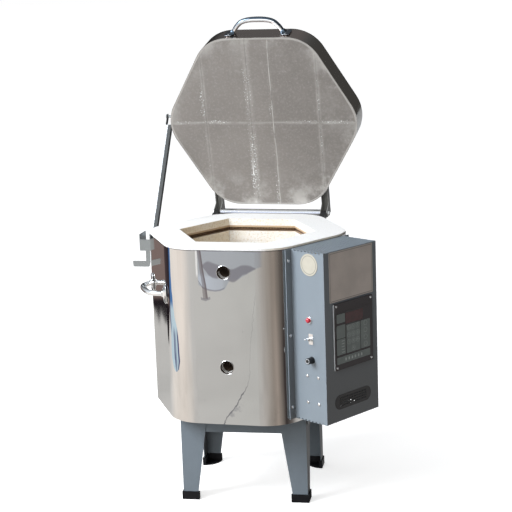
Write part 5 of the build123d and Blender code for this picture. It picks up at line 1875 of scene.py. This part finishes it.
@dataclass
class ControlBox:
    """The control box on the right-hand facet, with its plates, lamp, switch, fuse and controller."""

    relay_screws: Line = ((358, 460), (404, 460), (358, 375), (404, 375))
    flange_heights: Triple = (820, 582, 351)
    flange_reach: Pair = (-127.75, 144.75)
    flange_out: float = 303.5
    flange_screw: DomeScrew = field(default_factory=lambda: DomeScrew(head=5.4, dome=2.8))
    panel: Pair = (12.5, 585)
    panel_out: float = 442
    panel_wide: float = 181
    panel_screws: Pair = (163, 195)
    panel_screw: DomeScrew = field(default_factory=lambda: DomeScrew(head=3.9, dome=2))
    edge_size: Triple = (0.6, 209, 4.6)
    edge_middle: Triple = (-0.32, 0, -2.6)
    edge_round: float = 0.15
    fuse_at: Triple = (380, 514, 22.1)
    fuse_ring: Pair = (7, 1)
    badge_at: Triple = (376.5, 814, 1.2)
    keypad: Keypad = field(default_factory=Keypad)

    def _screws(self) -> None:
        """Puts domed screws on the flanges, the narrow side and the controller."""
        planes = [at(BOX, x, z, self.flange_out) for x in self.flange_reach for z in self.flange_heights]
        planes += [at(BOX_SIDE, x, z) for x, z in self.relay_screws]
        large = Bench.copies(self.flange_screw.model(), "large_screws", planes)
        x, z = self.panel
        wide, high = (size / 2 for size in self.panel_screws)
        places = [(x + a * wide, z + b * high) for a in (-1, 1) for b in (-1, 1)]
        planes = [at(BOX, *place, self.panel_out) for place in places]
        small = Bench.copies(self.panel_screw.model(), "small_screws", planes)
        screws = Bench.join("box_dome_screws", [large, small])
        Bench.done(screws, Finishes.screw, Body.KILN, "zinc", "box_screws")

    def _panel_edge(self) -> None:
        """Puts the bright cut edge on the left-hand side of the controller's plate."""
        strip = Bench.block("controller_edge", self.edge_size, self.edge_middle)
        with Shaping(strip, Pick.EDGES) as shape:
            shape.choose_all()
            shape.bevel(self.edge_round, 2)
        x, z = self.panel
        Bench.put(strip, at(BOX, x - self.panel_wide / 2, z, self.panel_out))
        Bench.done(strip, Finishes.cap_ring, Body.KILN, "panel")

    def _fuse_end(self) -> None:
        """Puts the bright ring on the end of the fuse cap."""
        ring = Bench.torus("fuse_end_ring", *self.fuse_ring, (36, 8))
        Bench.smooth(ring, 60)
        Bench.put(ring, at(BOX_SIDE, *self.fuse_at))
        Bench.done(ring, Finishes.cap_ring, Body.FUSE, "black_plastic")

    def build(self) -> None:
        """Dresses the box and makes its detailed pieces."""
        dress(Finishes.box, "box_cover", "box_back_panel", "box_top_panel", "box_bottom_panel")
        dress(Finishes.black, "vent_mesh")
        dress(Finishes.label, "label_plate")
        centre = tuple(at(BOX_SIDE, *self.badge_at).translation)
        dress(replace(Finishes.badge, centre=centre), "round_badge")
        dress(Finishes.panel, "controller_panel", "keypad")
        dress(Finishes.window, "display_window")
        dress(Finishes.circuit, "circuit_board")
        dress(Finishes.chrome, "lamp_bezel", "toggle_bat")
        dress(Finishes.lens, "lamp_lens")
        dress(Finishes.screw, "toggle_switch")
        dress(Finishes.plastic, "fuse_holder", "fuse_cap", "relays", "supply_gland")
        dress(Finishes.porcelain, "terminal_block", "box_spacers")
        dress(Finishes.wire, "wiring")
        self._screws()
        self._fuse_end()
        self._panel_edge()
        self.keypad.build()


@dataclass(frozen=True)
class SoftLight:
    """A square soft light: where it is, what it looks at, its side in metres, its power and its colour."""

    name: str
    place: Triple
    aim: Triple
    side: float
    power: float
    colour: Triple

    def build(self) -> None:
        """Adds the light."""
        data = bpy.data.lights.new(self.name, "AREA")
        data.size, data.energy, data.color = self.side, self.power, self.colour
        lamp = bpy.data.objects.new(self.name, data)
        lamp.location = self.place
        way = Vector(self.aim) - Vector(self.place)
        lamp.rotation_euler = way.to_track_quat("-Z", "Y").to_euler()
        bpy.context.scene.collection.objects.link(lamp)


@dataclass
class Studio:
    """The pale floor, the soft light and the camera."""

    eye: Triple = (1.2446, -4.6856, 1.7925)
    lens: float = 106.24
    sensor: float = 36
    yaw: float = 14.55
    pitch: float = 11.85
    roll: float = -1.99
    dusk: Triple = (0.008, 0.007, 0.0065)
    window: Triple = (0.98, 1.02, 1.06)
    window_way: Triple = (-0.8, -0.55, 0.2)
    ceiling: Triple = (0.82, 0.84, 0.87)
    doorway: Triple = (0.075, 0.071, 0.067)
    doorway_way: Triple = (0.48, 0.85, 0.2)
    floor_side: float = 80
    floor_tint: Triple = (0.87, 0.86, 0.845)
    floor_lit: Triple = (0.1, 0.088, 0.078)
    floor_seen: float = 0.62
    tray_radius: float = 1.7
    tray_deep: float = 0.66
    tray_middle: float = 0.332
    tray_left: Line = ((-0.1, -124), (0.0, -122), (0.14, -113), (0.3, -97), (0.5, -92), (0.7, -90))
    tray_foot: Line = ((-140, 0.25), (-129, 0.24), (-127.5, 0.17), (-120, 0.1), (-110, 0.06))
    tray_dark: Triple = (0.02, 0.016, 0.02)
    tray_brown: Triple = (0.25, 0.185, 0.17)
    tray_dim: Triple = (0.2, 0.18, 0.16)
    tray_warm: Triple = (0.78, 0.73, 0.67)
    lights: tuple[SoftLight, ...] = (
        SoftLight("key", (-3.0, -2.6, 3.4), (0, 0, 0.8), 2.4, 250, (0.95, 0.99, 1.05)),
        SoftLight("fill", (-0.5, -5.0, 2.2), (0, 0, 0.9), 3.0, 55, (1.0, 0.97, 0.94)),
    )
    cards: tuple[tuple[float, Triple], ...] = (
        (-180, (0.5, 0.49, 0.48)), (-150, (0.72, 0.7, 0.68)), (-124, (0.66, 0.655, 0.64)),
        (-108, (0.88, 0.86, 0.84)), (-92, (1.12, 1.06, 1.0)), (-50, (1.22, 1.12, 1.04)),
        (-36, (1.05, 0.99, 0.94)), (-24, (0.78, 0.77, 0.76)), (-8, (0.72, 0.72, 0.7)),
        (6, (0.64, 0.61, 0.58)), (18, (0.5, 0.46, 0.42)), (30, (0.4, 0.35, 0.31)),
        (38, (0.48, 0.41, 0.36)), (48, (0.27, 0.235, 0.21)), (57, (0.05, 0.04, 0.04)),
        (74, (0.22, 0.2, 0.19)), (90, (0.75, 0.74, 0.72)), (112, (0.3, 0.3, 0.31)),
        (135, (0.8, 0.8, 0.8)), (160, (0.4, 0.4, 0.41)),
    )

    def _camera(self) -> None:
        """Puts the camera where the photograph was taken."""
        yaw, pitch, roll = (math.radians(v) for v in (self.yaw, self.pitch, self.roll))
        level = Vector((math.cos(yaw), math.sin(yaw), 0))
        ahead = Vector((-level.y * math.cos(pitch), level.x * math.cos(pitch), -math.sin(pitch)))
        upright = level.cross(ahead)
        right = math.cos(roll) * level + math.sin(roll) * upright
        up = -math.sin(roll) * level + math.cos(roll) * upright
        data = bpy.data.cameras.new("camera")
        data.lens = self.lens
        data.sensor_width = self.sensor
        camera = bpy.data.objects.new("camera", data)
        turned = Matrix((right, up, -ahead)).transposed().to_4x4()
        camera.matrix_world = Matrix.Translation(self.eye) @ turned
        bpy.context.scene.collection.objects.link(camera)
        bpy.context.scene.camera = camera

    def _world(self) -> None:
        """A white backdrop that lights the kiln softly from the front left."""
        world = bpy.data.worlds.new("studio")
        world.use_nodes = True
        bpy.context.scene.world = world
        graph = Graph(world.name, world.node_tree)
        way = graph.node("ShaderNodeTexCoord", out="Generated")

        def towards(direction: Triple) -> Value:
            """How far the way looked is turned towards a direction."""
            return graph.dot(way, tuple(Vector(direction).normalized()))

        left = towards(self.window_way).step(-0.2, 0.95)
        top = towards(UP).step(0.05, 0.95)
        sky = graph.mix(left, self.dusk, self.window)
        sky = graph.mix(top * 0.38, sky, self.ceiling)
        shiny = graph.node("ShaderNodeLightPath", out="Is Glossy Ray")
        right = towards(self.doorway_way).step(0.8, 0.97)
        sky = graph.mix(shiny * right * 0.9, sky, self.doorway)
        seen = graph.node("ShaderNodeLightPath", out="Is Camera Ray")
        colour = graph.mix(seen, sky, WHITE)
        back = graph.node("ShaderNodeBackground", {"Color": colour, "Strength": 1.0})
        output = graph.tree.nodes.new("ShaderNodeOutputWorld")
        graph.tree.links.new(back.socket, output.inputs["Surface"])

    def _floor(self) -> None:
        """A wide pale floor that throws little light back up at the kiln."""
        clear()
        bpy.ops.mesh.primitive_plane_add(size=self.floor_side)
        floor = Bench.named("studio_floor")
        graph = Graph("pale_floor")
        cloud = graph.noise(1.2, detail=4)
        pale = graph.mix(cloud * 0.25, self.floor_tint, dimmed(self.floor_tint, 0.95))
        diffuse = graph.node("ShaderNodeLightPath", out="Is Diffuse Ray")
        seen = graph.node("ShaderNodeLightPath", out="Is Camera Ray")
        colour = graph.mix(diffuse, pale, self.floor_lit)
        glow = graph.mix(seen, (0, 0, 0), (self.floor_seen,) * 3)
        graph.close(Base_Color=colour, Roughness=0.9, Emission_Color=glow, Emission_Strength=1.0)
        floor.data.materials.append(graph.material)

    def _reflector(self) -> None:
        """A low tray of coloured card, out of the camera's sight, for the polished steel to mirror."""
        clear()
        bpy.ops.mesh.primitive_cylinder_add(
            vertices=128, radius=self.tray_radius, depth=self.tray_deep, location=(0, 0, self.tray_middle)
        )
        ring = Bench.named("reflector_tray")
        settle()
        with Shaping(ring) as shape:
            shape.choose_top()
            shape.open()
        graph = Graph("reflector_card")
        sway = (graph.noise(2.6, (1, 1, 0.5), 2) - 0.5) * 0.02
        sway = sway + (graph.noise(14, (1, 1, 0.06), 2) - 0.5) * 0.004
        ends = {"X": graph.axis((0, -1, 0)), "Y": graph.axis((1, 0, 0))}
        turned = graph.node("ShaderNodeCombineXYZ", ends)
        round_about = graph.node("ShaderNodeTexGradient", {"Vector": turned}, out=1, gradient_type="RADIAL")
        stops = [(angle / 360 + 0.5, colour) for angle, colour in self.cards]
        colour = graph.node("ShaderNodeValToRGB", {0: round_about + sway}, stops=stops)
        rise = graph.rise() + (graph.noise(4, detail=3) - 0.5) * 0.06
        turn = (round_about - 0.5) * 360
        level = graph.rise()
        left = (level.follow(self.tray_left) - turn).step(-1, 1) * turn.step(-145, -138)
        foot = turn.follow(self.tray_foot)
        colour = graph.mix(left * (level - foot).step(-0.012, 0.012), colour, self.tray_dark)
        colour = graph.mix(left * level.step(0.27, 0.3), colour, self.tray_brown)
        right = round_about.step(0.55, 0.66) * round_about.step(0.75, 0.7) * rise.step(0.1, 0.5)
        colour = graph.mix(right * 0.5, colour, self.tray_dim)
        low = rise.step(0.25, -0.05) * round_about.step(0.26, 0.32) * round_about.step(0.46, 0.4)
        colour = graph.mix(low * 0.35, colour, self.tray_warm)
        cloud = graph.noise(2.2, detail=5, rough=0.6)
        colour = graph.mix(cloud.step(0.35, 0.75) * 0.35, colour, graph.multiply(colour, (0.6, 0.6, 0.6)))
        lit = graph.node("ShaderNodeEmission", {"Color": colour, "Strength": 1.0})
        ring.data.materials.append(graph.end(lit))
        for ray in ("camera", "diffuse", "transmission", "volume_scatter", "shadow"):
            setattr(ring, f"visible_{ray}", False)

    def build(self) -> None:
        """Sets up camera, light and floor."""
        bpy.context.scene.view_settings.view_transform = "Standard"
        self._camera()
        self._world()
        self._floor()
        self._reflector()
        for light in self.lights:
            light.build()
        LOG.info("studio ready")


def main() -> None:
    """Builds the kiln's looks in order."""
    logging.basicConfig(level=logging.INFO, format="%(name)s: %(message)s")
    Studio().build()
    for part in (Stand(), Chamber(), Shell(), Lid(), Stay(), ControlBox()):
        part.build()
        LOG.info("finished %s", type(part).__name__)


if __name__ == "__main__":
    main()
